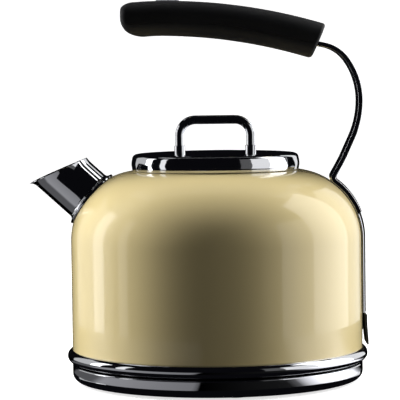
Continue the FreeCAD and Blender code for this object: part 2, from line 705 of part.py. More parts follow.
def make_control_body():
    top = SPREADER_LOW_Z - 1.2
    case = block(-CONTROL_X, CONTROL_X, -CONTROL_Y, CONTROL_Y, CONTROL_LOW_Z, top)
    ridges = [ring(BIMETAL_R + 0.2, BIMETAL_R + 1.4, top, SPREADER_LOW_Z - 0.1, x)
              for x in (-0.48 * CONTROL_X, 0.48 * CONTROL_X)]
    arm_end = ROCKER_PIVOT_X + 4
    arm = block(CONTROL_X, arm_end, -8, 8, CONTROL_LOW_Z, CONTROL_LOW_Z + 2)
    ears = [block(arm_end - 7, arm_end, low, low + 1.8, CONTROL_LOW_Z, ROCKER_Z + 2.6)
            for low in (-8.0, 6.2)]
    bore = cross_rod(ROCKER_PIVOT_X, ROCKER_Z, PIVOT_R + 0.02, 20)
    return joined(case, arm, *ridges, *ears).cut(bore)


def make_dry_boil_bimetals():
    top = SPREADER_LOW_Z - 1.2
    return Part.makeCompound([disc(BIMETAL_R, top + 0.3, top + 0.3 + BIMETAL_T, x)
                              for x in (-0.48 * CONTROL_X, 0.48 * CONTROL_X)])


def kettle_contact(radius, grow=0.0):
    """Ring or pin that reaches down into the base's connector."""
    low = SLOT_FLOOR_Z + SLOT_DEPTH_GAP
    high = RECESS_CEILING_Z + 2.5 + grow
    if radius == NEUTRAL_R:
        return disc(radius + grow, low, high)
    return ring(radius - CONTACT_WALL - grow, radius + grow, low, high)


def make_kettle_connector():
    solid = disc(BLOCK_FLANGE_R, RECESS_CEILING_Z, CONTROL_LOW_Z)
    for contact in CONTACTS:
        solid = solid.cut(kettle_contact(contact[0], FIT))
    return solid


# --------------------------------------------------------------- steam path
def make_steam_tube():
    inner = STEAM_TUBE_R - STEAM_TUBE_WALL
    low = CHAMBER_LOW_Z + CHAMBER_HEIGHT - 2.0
    return ring(inner, STEAM_TUBE_R, low, BODY_TOP_Z - STEAM_TOP_DROP, STEAM_X)


def make_steam_grommet():
    inner = STEAM_TUBE_R + FIT
    sleeve = ring(inner, STEAM_TUBE_R + GROMMET_WALL, PLATE_LOW_Z - 0.5, PLATE_Z + 1.2, STEAM_X)
    top = ring(inner, STEAM_TUBE_R + 2.6, PLATE_Z + FIT, PLATE_Z + 1.2, STEAM_X)
    low = ring(inner, STEAM_TUBE_R + 1.8, PLATE_LOW_Z - 1.2, PLATE_LOW_Z - FIT, STEAM_X)
    return joined(sleeve, top, low)


def make_steam_chamber():
    top = CHAMBER_LOW_Z + CHAMBER_HEIGHT
    wall = ring(CHAMBER_R - 1.4, CHAMBER_R, CHAMBER_LOW_Z, top, STEAM_X)
    roof = ring(STEAM_TUBE_R + 0.02, CHAMBER_R, top - 1.2, top, STEAM_X)
    lip = ring(CHAMBER_R - 3.0, CHAMBER_R, CHAMBER_LOW_Z, CHAMBER_LOW_Z + 0.8, STEAM_X)
    return joined(wall, roof, lip)


def make_steam_bimetal():
    low = CHAMBER_LOW_Z + 0.8
    return disc(STEAM_BIMETAL_R, low, low + BIMETAL_T, STEAM_X)


def make_trip_rocker():
    """Bar on its own pivot under the steam thermostat."""
    half_t = ROCKER_T / 2
    end = TIP_X + 1.5
    bar = block(ROCKER_PIVOT_X, end, -ROCKER_HALF, ROCKER_HALF, ROCKER_Z - half_t, ROCKER_Z + half_t)
    hub = cross_rod(ROCKER_PIVOT_X, ROCKER_Z, 2.4, ROCKER_HALF)
    nub = disc(1.6, ROCKER_Z, ROCKER_Z + half_t + 0.8, STEAM_X)
    return joined(hub, bar, nub).cut(cross_rod(ROCKER_PIVOT_X, ROCKER_Z, PIVOT_R + RUN, 20))


def make_rocker_pin():
    return cross_rod(ROCKER_PIVOT_X, ROCKER_Z, PIVOT_R, 8.0)


# ------------------------------------------------------------------- switch
def make_switch_bezel():
    """Black panel on the body with a window and two ears for the lever's pin."""
    panel = back_strip(0, BEZEL_T, BEZEL_HALF, BEAD_Z + BEAD_R + 0.6, SPINE_LOW_Z - 0.5)
    sleeve = block(BODY_IN_R - 2.5, BODY_R, -WINDOW_HALF, WINDOW_HALF, WINDOW_Z[0] - 0.5,
                   WINDOW_Z[1] + 0.5)
    ears = block(PIVOT_X - 3, BODY_IN_R - 1, -WINDOW_HALF, WINDOW_HALF, PIVOT_Z - 4, WINDOW_Z[1])
    half = LEVER_HALF + 0.3
    window = block(PIVOT_X - 10, 2 * BODY_R, -half, half, WINDOW_Z[0], WINDOW_Z[1] + 0.2)
    above = block(PIVOT_X - 10, BODY_IN_R - 2.5, -half, half, WINDOW_Z[0] - 5, WINDOW_Z[1] + 5)
    bore = cross_rod(PIVOT_X, PIVOT_Z, PIVOT_R + 0.02, 20)
    return joined(panel, sleeve, ears).cut([window, above, bore])


def make_lever_pin():
    return cross_rod(PIVOT_X, PIVOT_Z, PIVOT_R, WINDOW_HALF)


def make_switch_lever():
    """Paddle outside, neck through the window, bent arm down to the rocker."""
    face = BODY_R + BEZEL_T
    paddle = plate(PADDLE_HALF, (face + 0.4, PADDLE_TOP_Z), (face + 2.0, PADDLE_TOP_Z),
                   (face + 3.0, PADDLE_LOW_Z), (face + 1.7, PADDLE_LOW_Z), (face + 0.4, 37.0))
    hub = cross_rod(PIVOT_X, PIVOT_Z, LEVER_HUB_R, LEVER_HALF)
    neck = block(PIVOT_X, face + 1.0, -LEVER_HALF, LEVER_HALF, PIVOT_Z - 2.5, PIVOT_Z + 2.0)
    elbow = (PIVOT_X - 3.0, TIP_Z)
    arm = plate(LEVER_HALF, (PIVOT_X - 2.4, PIVOT_Z), (PIVOT_X + 1, PIVOT_Z - 1),
                (elbow[0] + 1.6, elbow[1] - TIP_R), (TIP_X, elbow[1] - TIP_R),
                (TIP_X, elbow[1] + TIP_R), (elbow[0] - 1.4, elbow[1] + TIP_R))
    tip = cross_rod(TIP_X, TIP_Z, TIP_R, LEVER_HALF)
    return joined(paddle, hub, neck, arm, tip).cut(cross_rod(PIVOT_X, PIVOT_Z, PIVOT_R + RUN, 20))


# -------------------------------------------------------- strap and its grip
def walk(start, heading, *legs):
    """Centreline of the strap: a leg is a straight length or (turn, radius)."""
    here = start
    edges = []
    for leg in legs:
        if isinstance(leg, tuple):
            turn, radius = leg
            normal = math.radians(heading + 90)
            centre = here + V(math.cos(normal), 0, math.sin(normal)) * radius
            middle, end = [centre + V(math.sin(math.radians(heading + part)), 0,
                                      -math.cos(math.radians(heading + part))) * radius
                           for part in (turn / 2, turn)]
            edges.append(Part.Arc(here, middle, end).toShape())
            heading += turn
        else:
            turn = math.radians(heading)
            end = here + V(math.cos(turn), 0, math.sin(turn)) * leg
            edges.append(Part.makeLine(here, end))
        here = end
    return edges, here, heading


STRAP_START = shoulder_point(SHOULDER_R + STRAP_PAD_T + STRAP_T / 2, STRAP_FOOT_ANGLE)
ARCH_LEGS = (STRAP_RUN,) + STRAP_BENDS
TANG_LEGS = (TANG_RUN, TANG_BEND, TANG_END)
ARCH, STRAP_EXIT, EXIT_HEADING = walk(STRAP_START, STRAP_LEAN, *ARCH_LEGS)
TANG, TANG_TIP = walk(STRAP_EXIT, EXIT_HEADING, *TANG_LEGS)[:2]


def band(start, heading, legs, thickness, half):
    """Flat band along a centreline whose turns are all to the left."""
    normal = V(-math.sin(math.radians(heading)), 0, math.cos(math.radians(heading)))
    sides = []
    for offset in (thickness / 2, -thickness / 2):
        side_legs = [(leg[0], leg[1] - offset) if isinstance(leg, tuple) else leg for leg in legs]
        edges, end, last = walk(start + normal * offset, heading, *side_legs)
        sides.append((edges, start + normal * offset, end))
    (inner, inner_start, inner_end), (outer, outer_start, outer_end) = sides
    wire = Part.Wire(inner + [Part.makeLine(inner_end, outer_end)] + outer[::-1]
                     + [Part.makeLine(outer_start, inner_start)])
    face = Part.Face(wire)
    face.translate(V(0, -half, 0))
    return face.extrude(V(0, 2 * half, 0))


def strap_holes(radius, low=-9.0, high=STRAP_PAD_T + STRAP_T - 0.8):
    """Cylinders square to the shoulder at the strap's screws."""
    return [rod(shoulder_point(SHOULDER_R + low, angle), shoulder_point(SHOULDER_R + high, angle), radius)
            for angle in STRAP_SCREW_ANGLES]


def grip_screw_places():
    """Points on the tang's centreline where the grip screws pass through."""
    places = []
    for back in GRIP_SCREW_BACK:
        x = STRAP_EXIT.x - back
        places.append(V(x, 0, tang_height(x)))
    return places


def tang_height(x):
    """Height of the tang's centreline at a place along the grip."""
    line = Part.makeLine(V(x, 0, STRAP_EXIT.z - 200), V(x, 0, STRAP_EXIT.z + 200))
    return line.distToShape(Part.Wire(TANG))[1][0][0].z


def make_handle_strap():
    foot = back_strip(STRAP_PAD_T, STRAP_PAD_T + STRAP_T, STRAP_HALF, STRAP_FOOT_Z,
                      STRAP_START.z + 0.6)
    upper = band(STRAP_START, STRAP_LEAN, ARCH_LEGS + TANG_LEGS, STRAP_T, STRAP_HALF)
    heel = cross_rod(STRAP_START.x, STRAP_START.z, STRAP_T / 2, STRAP_HALF)
    solid = joined(foot, heel, upper).cut(body_form(STRAP_PAD_T))
    holes = [disc(GRIP_SCREW_R + 0.3, place.z - 10, place.z + 10, place.x)
             for place in grip_screw_places()]
    return solid.cut(holes + strap_holes(STRAP_SCREW_R + FIT))


def make_spine():
    return back_strip(STRAP_PAD_T, STRAP_PAD_T + SPINE_T, SPINE_HALF, SPINE_LOW_Z, STRAP_FOOT_Z - 0.2)


def make_spine_gasket():
    strip = back_strip(0, STRAP_PAD_T, STRAP_HALF - 0.4, SPINE_LOW_Z + 0.4, STRAP_START.z - 1.5)
    return strip.cut(strap_holes(STRAP_SCREW_R + 0.2))


def make_backing_plate():
    low = -BODY_WALL - FIT
    strip = back_strip(low - BACKING_T, low, STRAP_HALF - 3, STRAP_FOOT_Z + 1, STRAP_START.z - 2)
    return strip.cut(strap_holes(STRAP_SCREW_R + 0.2))


def make_strap_screws():
    seat = -BODY_WALL - FIT - BACKING_T - 0.25
    screws = []
    shanks = strap_holes(STRAP_SCREW_R, seat - 0.5, STRAP_PAD_T + STRAP_T - 0.9)
    heads = strap_holes(2 * STRAP_SCREW_R, seat - 2.2, seat)
    for shank, head in zip(shanks, heads):
        screws.append(joined(shank, head))
    return Part.makeCompound(screws)


GRIP_CENTRE = STRAP_EXIT + V(-GRIP_CREST, 0, GRIP_CREST_RISE - GRIP_ARC_R)


def grip_ring(inset, top_r):
    """Part of a ring whose section is the grip's rounded rectangle."""
    half = GRIP_HALF - inset
    low = top_r - GRIP_HEIGHT + 2 * inset
    r = GRIP_SECTION_R - inset
    x = GRIP_CENTRE.x

    def place(y, radius):
        return V(x, y, GRIP_CENTRE.z + radius)

    def bend(y, radius, turn):
        angle = math.radians(turn)
        return place(y + r * math.cos(angle), radius + r * math.sin(angle))

    corners = ((half - r, top_r - r, 0), (r - half, top_r - r, 90), (r - half, low + r, 180),
               (half - r, low + r, 270))
    edges = []
    for index, (y, radius, turn) in enumerate(corners):
        edges.append(Part.Arc(bend(y, radius, turn), bend(y, radius, turn + 45),
                              bend(y, radius, turn + 90)).toShape())
        after = corners[(index + 1) % 4]
        edges.append(Part.makeLine(bend(y, radius, turn + 90), bend(after[0], after[1], after[2])))
    face = Part.Face(Part.Wire(edges))
    face.rotate(GRIP_CENTRE, V(0, 1, 0), -15)
    return face.revolve(GRIP_CENTRE, V(0, 1, 0), 45)


def grip_end(shift):
    """Block beyond the grip's slanted end face."""
    size = 4 * GRIP_HEIGHT
    end = Part.makeBox(size, size, 2 * size, V(0, -size / 2, -size))
    end.rotate(V(0, 0, 0), V(0, 1, 0), 90 - GRIP_END_LEAN)
    end.translate(STRAP_EXIT + V(shift - GRIP_END_BACK, 0, 0))
    return end


def grip_nose(shift):
    """Block beyond the grip's nose."""
    x = STRAP_EXIT.x - GRIP_REACH + shift
    z = STRAP_EXIT.z
    return block(x - 100, x, -100, 100, z - 100, z + 100)


def rounded_ends(solid):
    """The grip's blank with its nose and end rounded."""
    nose_x = STRAP_EXIT.x - GRIP_REACH
    nose = [edge for edge in solid.Edges if edge.CenterOfMass.x < nose_x + 0.01]
    solid = solid.makeFillet(NOSE_R, nose)
    lean = math.radians(GRIP_END_LEAN)
    normal = V(math.sin(lean), 0, -math.cos(lean))
    face_point = STRAP_EXIT - V(GRIP_END_BACK, 0, 0)
    tail = [edge for edge in solid.Edges if abs((edge.CenterOfMass - face_point).dot(normal)) < 0.01]
    return solid.makeFillet(TAIL_R, tail)


def grip_shell():
    blank = grip_ring(0, GRIP_ARC_R).cut([grip_end(0), grip_nose(0)])
    solid = rounded_ends(largest(blank))
    hollow = grip_ring(GRIP_WALL, GRIP_ARC_R - GRIP_WALL)
    hollow = hollow.cut([grip_end(-2 * GRIP_WALL), grip_nose(2 * GRIP_WALL)])
    return solid, hollow


def above_tang():
    """Region above the strap's centreline inside the grip."""
    wire_start = STRAP_EXIT + V(40, 0, -8.5)
    wire_end = TANG_TIP + V(-60, 0, 0)
    top = STRAP_EXIT.z + 80
    edges = [Part.makeLine(wire_start, STRAP_EXIT)] + TANG + [Part.makeLine(TANG_TIP, wire_end)]
    high_end = V(wire_end.x, 0, top)
    high_start = V(wire_start.x, 0, top)
    edges += [Part.makeLine(wire_end, high_end), Part.makeLine(high_end, high_start),
              Part.makeLine(high_start, wire_start)]
    face = Part.Face(Part.Wire(edges))
    face.translate(V(0, -50, 0))
    return face.extrude(V(0, 100, 0))


def make_thumb_pad():
    x = STRAP_EXIT.x - PAD_BACK
    window = block(x - PAD_HALF, x + PAD_HALF, -PAD_HALF, PAD_HALF, STRAP_EXIT.z, STRAP_EXIT.z + 60)
    posts = [edge for edge in window.Edges if abs(edge.tangentAt(0).z) > 0.9]
    window = window.makeFillet(3.0, posts)
    rind = grip_ring(-PAD_PROUD, GRIP_ARC_R + PAD_PROUD).cut(grip_ring(1.0, GRIP_ARC_R - 1.0))
    return rind.common(window).common(above_tang())


def make_grip():
    """Lower shell, upper shell and the screws that clamp them on the tang."""
    solid, hollow = grip_shell()
    strap = make_handle_strap()
    above = above_tang()
    half_t = STRAP_T / 2
    skin = solid.cut(hollow)
    low_bosses = []
    high_bosses = []
    low_rooms = []
    high_rooms = []
    screws = []
    for place in grip_screw_places():
        x, z = place.x, place.z
        column = disc(GRIP_BOSS_R, z - 40, z + 40, x).common(solid)
        low_bosses.append(column.cut(above))
        high_bosses.append(column.common(above))
        head_top = z - half_t - 3.0
        low_rooms.append(disc(2 * GRIP_SCREW_R + 0.3, z - 40, head_top, x))
        low_rooms.append(disc(GRIP_SCREW_R + 0.3, z - 40, z + 10, x))
        high_rooms.append(disc(GRIP_SCREW_R + FIT, z - 10, z + 9, x))
        head = disc(2 * GRIP_SCREW_R, head_top - 2.2, head_top, x)
        socket = disc(GRIP_SCREW_R, head_top - 3, head_top - 1, x)
        shank = disc(GRIP_SCREW_R, head_top - 0.5, z + 8.5, x)
        screws.append(joined(head, shank).cut(socket))
    lower = joined(skin.cut(above), *low_bosses).cut([strap] + low_rooms)
    upper = joined(skin.common(above), *high_bosses).cut([strap, make_thumb_pad()] + high_rooms)
    return largest(lower), largest(upper), Part.makeCompound(screws)


def largest(shape):
    return max(shape.Solids, key=lambda solid: solid.Volume)


# ---------------------------------------------------------------------- lid
def lid_surface(radius, inset=0.0):
    """Height of the lid's crowned top at a radius."""
    edge_r = LID_R - LID_CORNER
    return LID_TOP_Z - inset - LID_CROWN * (radius / edge_r) ** 2


def make_lid_cap():
    corner_z = LID_TOP_Z - LID_CROWN
    edge_r = LID_R - LID_CORNER
    side_z = corner_z - 2.8
    inner = LID_IN_R
    slant = 0.72
    wall = LID_WALL
    lip_r = inner - 0.9
    return turned((lip_r, LID_LOW_Z), (LID_R, LID_LOW_Z),
                  ((LID_R + LID_BULGE, (LID_LOW_Z + side_z) / 2), (LID_R, side_z)),
                  ((edge_r + slant * LID_CORNER, side_z + slant * 2.8), (edge_r, corner_z)),
                  ((edge_r / 2, lid_surface(edge_r / 2)), (0, LID_TOP_Z)), (0, LID_TOP_Z - wall),
                  ((edge_r / 2, lid_surface(edge_r / 2, wall)), (edge_r - 0.2, corner_z - wall)),
                  ((edge_r + slant * (LID_CORNER - wall) - 0.1, side_z + slant * (2.8 - wall)),
                   (inner, side_z)),
                  (inner, LID_LOW_Z + 0.5), (lip_r, LID_LOW_Z + 0.5)).cut(stud_holes())


def leg_places():
    return (-ROD_SPAN / 2, ROD_SPAN / 2)


def stud_holes():
    return [disc(ROD_STUD_R + 0.2, LID_LOW_Z, LID_TOP_Z + 5, x) for x in leg_places()]


def make_lid_plug():
    """Open cup that fills the neck, with a flange held by the cap's rim."""
    inner = PLUG_R - PLUG_WALL
    flange_r = LID_IN_R - FIT
    flange_top = LID_SEAT_Z + 1.0
    return turned((0, PLUG_LOW_Z), (PLUG_R - 1, PLUG_LOW_Z), (PLUG_R, PLUG_LOW_Z + 1),
                  (PLUG_R, LID_SEAT_Z), (flange_r, LID_SEAT_Z), (flange_r, flange_top),
                  (inner, flange_top), (inner, PLUG_LOW_Z + 1.2), (0, PLUG_LOW_Z + 1.2))


def make_lid_seal():
    """Silicone band with two lips round the plug."""
    inner = PLUG_R + FIT
    band = inner + 0.6
    lip = NECK_R - SEAL_GAP
    low = LID_SEAT_Z - 7.8
    return turned((inner, low), (band, low), (lip, low + 1.2), (lip, low + 1.7), (band, low + 1.7),
                  (band, low + 2.6), (lip, low + 3.8), (lip, low + 4.3), (band, low + 4.3),
                  (inner, low + 4.5))


def make_lid_handle():
    """Bent round bar with a thinner stud below each leg."""
    left, right = leg_places()
    foot = lid_surface(ROD_SPAN / 2) + 0.3
    top = LID_TOP_Z + ROD_HEIGHT
    bend = top - ROD_BEND_R
    path = [Part.makeLine(V(left, 0, foot), V(left, 0, bend))]
    centres = ((left + ROD_BEND_R, 180), (right - ROD_BEND_R, 90))
    arcs = []
    for x, start in centres:
        a, m, b = [corner((x, bend), ROD_BEND_R, start - turn) for turn in (0, 45, 90)]
        arcs.append(Part.Arc(V(a[0], 0, a[1]), V(m[0], 0, m[1]), V(b[0], 0, b[1])).toShape())
    path.append(arcs[0])
    path.append(Part.makeLine(V(left + ROD_BEND_R, 0, top), V(right - ROD_BEND_R, 0, top)))
    path.append(arcs[1])
    path.append(Part.makeLine(V(right, 0, bend), V(right, 0, foot)))
    circle = Part.Wire(Part.makeCircle(ROD_R, V(left, 0, foot), V(0, 0, 1)))
    bar = Part.Wire(path).makePipeShell([circle], True, False)
    studs = [disc(ROD_STUD_R, foot - 7.0, foot + 1, x) for x in leg_places()]
    return joined(bar, *studs)


def make_lid_ferrules():
    cap = make_lid_cap()
    low = lid_surface(ROD_SPAN / 2) - 0.4
    top = low + FERRULE_HEIGHT + 0.4
    rings = []
    for x in leg_places():
        sleeve = ring(ROD_R + FIT, FERRULE_R, low, top, x)
        base = ring(ROD_STUD_R + 0.2, FERRULE_R, low, lid_surface(ROD_SPAN / 2) + 0.25, x)
        rings.append(joined(sleeve, base).cut(cap))
    return Part.makeCompound(rings)


def make_lid_nuts():
    high = lid_surface(ROD_SPAN / 2) - LID_WALL - 0.1
    nuts = []
    for x in leg_places():
        corners = [V(x + 3.9 * math.cos(math.radians(60 * i)), 3.9 * math.sin(math.radians(60 * i)),
                     high - 3.2) for i in range(7)]
        nut = Part.Face(Part.makePolygon(corners)).extrude(V(0, 0, 3.2))
        nuts.append(nut.cut(disc(ROD_STUD_R + FIT, high - 5, high + 1, x)))
    return Part.makeCompound(nuts)


# ------------------------------------------------------------------- export
GRIP_LOWER, GRIP_UPPER, GRIP_SCREWS = make_grip()
NEUTRAL, LINE, EARTH = CONTACTS

PIECES = {
    "base_trim_band": make_band(),
    "base_deck": make_deck(),
    "base_floor": make_floor(),
    "base_feet": make_feet(),
    "base_screws": make_base_screws(),
    "connector_block": make_connector_block(),
    "base_neutral_contact": base_contact(*NEUTRAL),
    "base_line_contact": base_contact(*LINE),
    "base_earth_contact": base_contact(*EARTH),
    "cord_gland": make_cord_gland(),
    "glide_collar": make_glide_collar(),
    "body_shell": make_body_shell(),
    "bead_ring": make_bead_ring(),
    "neck_ring": make_neck_ring(),
    "bottom_cover": make_bottom_cover(),
    "cover_studs": make_cover_studs(),
    "cover_screws": make_cover_screws(),
    "spout": make_spout(),
    "spout_gasket": make_spout_gasket(),
    "filter_frame": make_filter_frame(),
    "filter_mesh": make_filter_mesh(),
    "element_plate": make_element_plate(),
    "plate_seal": make_plate_seal(),
    "heat_spreader": make_heat_spreader(),
    "heating_element": make_heating_element(),
    "element_terminals": make_element_terminals(),
    "element_leads": make_element_leads(),
    "control_body": make_control_body(),
    "dry_boil_bimetals": make_dry_boil_bimetals(),
    "kettle_connector": make_kettle_connector(),
    "neutral_pin": kettle_contact(NEUTRAL_R),
    "line_ring": kettle_contact(LINE_R),
    "earth_ring": kettle_contact(EARTH_R),
    "steam_tube": make_steam_tube(),
    "steam_tube_grommet": make_steam_grommet(),
    "steam_chamber": make_steam_chamber(),
    "steam_bimetal": make_steam_bimetal(),
    "trip_rocker": make_trip_rocker(),
    "rocker_pin": make_rocker_pin(),
    "switch_bezel": make_switch_bezel(),
    "switch_lever": make_switch_lever(),
    "lever_pin": make_lever_pin(),
    "handle_strap": make_handle_strap(),
    "handle_spine": make_spine(),
    "spine_gasket": make_spine_gasket(),
    "strap_backing_plate": make_backing_plate(),
    "strap_screws": make_strap_screws(),
    "grip_lower": GRIP_LOWER,
    "grip_upper": GRIP_UPPER,
    "grip_screws": GRIP_SCREWS,
    "thumb_pad": make_thumb_pad(),
    "lid_cap": make_lid_cap(),
    "lid_plug": make_lid_plug(),
    "lid_seal": make_lid_seal(),
    "lid_handle": make_lid_handle(),
    "lid_ferrules": make_lid_ferrules(),
    "lid_nuts": make_lid_nuts(),
}

os.makedirs("parts", exist_ok=True)
for name, shape in PIECES.items():
    shape.exportStep(os.path.join("parts", name + ".step"))
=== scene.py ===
"""Round electric kettle with a cream enamelled body, chromed trim and a strap handle.

Laid out as a Blender add-on and run as a script. The pieces are built in the CAD frame;
lengths inside the build functions are millimetres, and meshes are written in metres.
"""

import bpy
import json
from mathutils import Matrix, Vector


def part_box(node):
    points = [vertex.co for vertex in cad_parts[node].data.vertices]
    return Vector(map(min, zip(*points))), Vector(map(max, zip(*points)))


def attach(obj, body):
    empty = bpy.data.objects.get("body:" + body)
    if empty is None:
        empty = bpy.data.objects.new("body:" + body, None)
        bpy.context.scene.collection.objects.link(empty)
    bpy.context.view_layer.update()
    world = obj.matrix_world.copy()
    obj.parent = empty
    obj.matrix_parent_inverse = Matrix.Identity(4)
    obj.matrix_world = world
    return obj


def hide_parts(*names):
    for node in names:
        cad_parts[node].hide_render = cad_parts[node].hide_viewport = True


bl_info = {
    "name": "Round Electric Kettle",
    "version": (1, 0, 0),
    "blender": (4, 5, 0),
    "location": "View3D > Sidebar > Kettle",
    "description": "Builds the visible pieces of a round electric kettle around its CAD frame",
    "category": "Add Mesh",
}

import json
import math
from dataclasses import dataclass

import bmesh
import bpy
from bpy.props import FloatProperty, FloatVectorProperty, PointerProperty
from mathutils import Matrix, Vector

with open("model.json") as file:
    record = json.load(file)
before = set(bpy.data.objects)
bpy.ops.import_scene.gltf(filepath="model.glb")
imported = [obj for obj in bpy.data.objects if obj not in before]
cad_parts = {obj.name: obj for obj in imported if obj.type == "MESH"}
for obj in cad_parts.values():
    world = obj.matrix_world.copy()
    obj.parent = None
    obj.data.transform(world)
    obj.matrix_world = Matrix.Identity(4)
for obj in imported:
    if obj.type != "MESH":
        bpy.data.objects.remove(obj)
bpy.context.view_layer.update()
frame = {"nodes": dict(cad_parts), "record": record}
BODY_OF = {node: body for body, nodes in frame["record"]["behaviour"]["bodies"].items()
           for node in nodes}

MM = 0.001
TURNS = 160                 # steps round a turned piece
SHARP = 33.0                # edges sharper than this stay crisp, in degrees


# ------------------------------------------------------------ frame places
class Span:
    """Box of a CAD node in millimetres; r is its reach across the kettle's axis."""

    def __init__(self, node):
        low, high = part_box(node)
        self.x0, self.y0, self.z0 = [value / MM for value in low]
        self.x1, self.y1, self.z1 = [value / MM for value in high]
        self.r = self.y1


def in_mm(group):
    """Plain copy of a property group with its lengths in millimetres."""
    copy = type("Values", (), {})()
    for name, value in group.bl_rna.properties.items():
        if name in ("rna_type", "name"):
            continue
        held = getattr(group, name)
        setattr(copy, name, held / MM if value.unit == "LENGTH" else held)
    return copy


def length(name, description, default, **more):
    """Length property; its default is in millimetres."""
    return FloatProperty(name=name, description=description, default=default * MM,
                         unit="LENGTH", subtype="DISTANCE", precision=5, **more)


def angle(name, description, default):
    """Angle property; its default is in degrees."""
    return FloatProperty(name=name, description=description, default=math.radians(default),
                         subtype="ANGLE", unit="ROTATION")


def colour(name, description, default):
    return FloatVectorProperty(name=name, description=description, default=(*default, 1.0),
                               subtype="COLOR", size=4, min=0.0, max=1.0)


def share(name, description, default):
    return FloatProperty(name=name, description=description, default=default,
                         min=0.0, max=1.0, subtype="FACTOR")


SHELL = Span("body_shell")
BAND = Span("base_trim_band")
BEAD = Span("bead_ring")
DECK = Span("base_deck")
CAP = Span("lid_cap")
ROD = Span("lid_handle")
STRAP = Span("handle_strap")
GRIP = Span("grip_upper")


# --------------------------------------------------------- property groups
class KettleSizes(bpy.types.PropertyGroup):
    """Sizes of the body, base, lid and spout."""
    wall: length("Wall", "Thickness of the body's sheet", 0.9)
    shoulder: length("Shoulder Radius", "Radius of the body's round shoulder", 47.0)
    hole: length("Filling Hole", "Radius of the hole in the top of the body", Span("neck_ring").y1 - 3.35)
    band_edge: length("Band Edge", "Rounding of the base band's top edge", 1.0)
    band_corner: length("Band Corner", "Rounding of the base band's bottom edge", 5.5)
    bead: length("Bead Radius", "Radius of the rolled bead's section", 4.4)
    lid_side: length("Lid Side", "Height of the lid's bulging side", 8.1)
    lid_crown: length("Lid Crown", "Rise of the lid's top from edge to middle", 1.5)
    rod_bend: length("Rod Bend", "Centre line radius of the lid handle's bends", 10.5)
    spout: length("Spout Radius", "Outside radius of the spout", 18.0)
    spout_wall: length("Spout Wall", "Thickness of the spout's sheet", 1.1)
    spout_length: length("Spout Length", "From the shoulder to the mouth along the axis", 25.5)
    spout_flange: length("Spout Flange", "Width of the flange round the spout's foot", 3.2)
    spout_lip: length("Spout Lip", "How far the pouring lip flares at its tip", 1.3)
    spout_seat: angle("Spout Seat", "Angle round the shoulder at which the spout sits", 41.0)
    spout_rise: angle("Spout Rise", "Slope of the spout", 42.5)
    mouth_slope: angle("Mouth Slope", "Slope of the spout's mouth", 22.5)
    wire: length("Wire", "Diameter of the filter mesh's wire", 0.34)
    pitch: length("Wire Pitch", "Distance between wires of the filter mesh", 1.35)


class KettleHandleSizes(bpy.types.PropertyGroup):
    """Sizes of the strap, its spine, the grip and the switch."""
    pad: length("Bonding Pad", "Pad between the steel and the enamel", 0.5)
    strap: length("Strap Thickness", "Thickness of the steel strap", 3.0)
    strap_edge: length("Strap Edge", "Rounding of the strap's edges", 0.35)
    foot_angle: angle("Foot Angle", "Where the strap leaves the shoulder", 55.0)
    lean: angle("Strap Lean", "Slope of the straight run above the shoulder", 65.5)
    run: length("Strap Run", "Straight run above the shoulder", 30.5)
    heel: length("Heel Radius", "Centre line radius where the strap leaves the body", 2.2)
    spine: length("Spine Thickness", "Thickness of the chromed spine", 2.0)
    grip_height: length("Grip Height", "Height of the grip's section", 24.6)
    grip_corner: length("Grip Corner", "Corner radius of the grip's section", 10.0)
    grip_arc: length("Grip Arc", "Radius of the grip's top line", 369.8)
    crest_back: length("Crest Back", "From the strap's exit back to the grip's crest", 108.8)
    crest_rise: length("Crest Rise", "Height of the crest above the strap's exit", 30.7)
    end_back: length("End Back", "From the strap's exit back to the end face", 4.7)
    end_lean: angle("End Lean", "Slope of the grip's end face", 66.0)
    nose: length("Nose Radius", "Rounding of the grip's nose", 4.5)
    nose_top: length("Nose Top Radius", "Rounding of the nose's upper corner in side view", 5.0)
    nose_low: length("Nose Low Radius", "Rounding of the nose's lower corner in side view", 13.0)
    nose_reach: length("Nose Reach", "Length over which the nose's rounding fades out", 32.0)
    grip_taper: length("Grip Taper", "How much lower the grip is at its nose", 1.6)
    tail: length("Tail Radius", "Rounding of the grip's other end", 2.0)
    seam: length("Seam Width", "Chamfer along the joint of the grip's shells", 0.35)
    paddle_ridge: length("Paddle Ridge", "Height of the ridges on the switch", 0.3)


class KettleFinishes(bpy.types.PropertyGroup):
    """Colours and finish of each material."""
    enamel: colour("Enamel", "Cream paint of the body", (0.80, 0.66, 0.335))
    chrome: colour("Chrome", "Tint of the chromed parts", (0.78, 0.79, 0.82))
    steel: colour("Steel", "Tint of the bare stainless steel", (0.60, 0.60, 0.61))
    plastic: colour("Black Plastic", "Base and switch mouldings", (0.012, 0.012, 0.013))
    grip: colour("Grip", "Soft covering of the grip", (0.006, 0.006, 0.007))
    pad: colour("Thumb Pad", "Rubber pad on the grip", (0.075, 0.075, 0.082))
    rubber: colour("Rubber", "Feet and gaskets", (0.018, 0.018, 0.019))
    silicone: colour("Silicone", "Lid and water floor seals", (0.55, 0.55, 0.56))
    brass: colour("Brass", "Electrical contacts", (0.78, 0.58, 0.27))
    aluminium: colour("Aluminium", "Heat spreader", (0.74, 0.75, 0.77))
    control: colour("Control Plastic", "Control and connector mouldings", (0.66, 0.63, 0.57))
    zinc: colour("Zinc", "Plated screws", (0.56, 0.57, 0.60))
    sleeve: colour("Lead Sleeve", "Heat resistant sleeve of the leads", (0.25, 0.09, 0.05))
    enamel_gloss: share("Enamel Roughness", "Roughness of the paint under its clear coat", 0.22)
    smudges: share("Smudges", "How much handling marks dull the polished parts", 0.25)
    wear: share("Edge Wear", "How far edges are rubbed bright", 0.3)


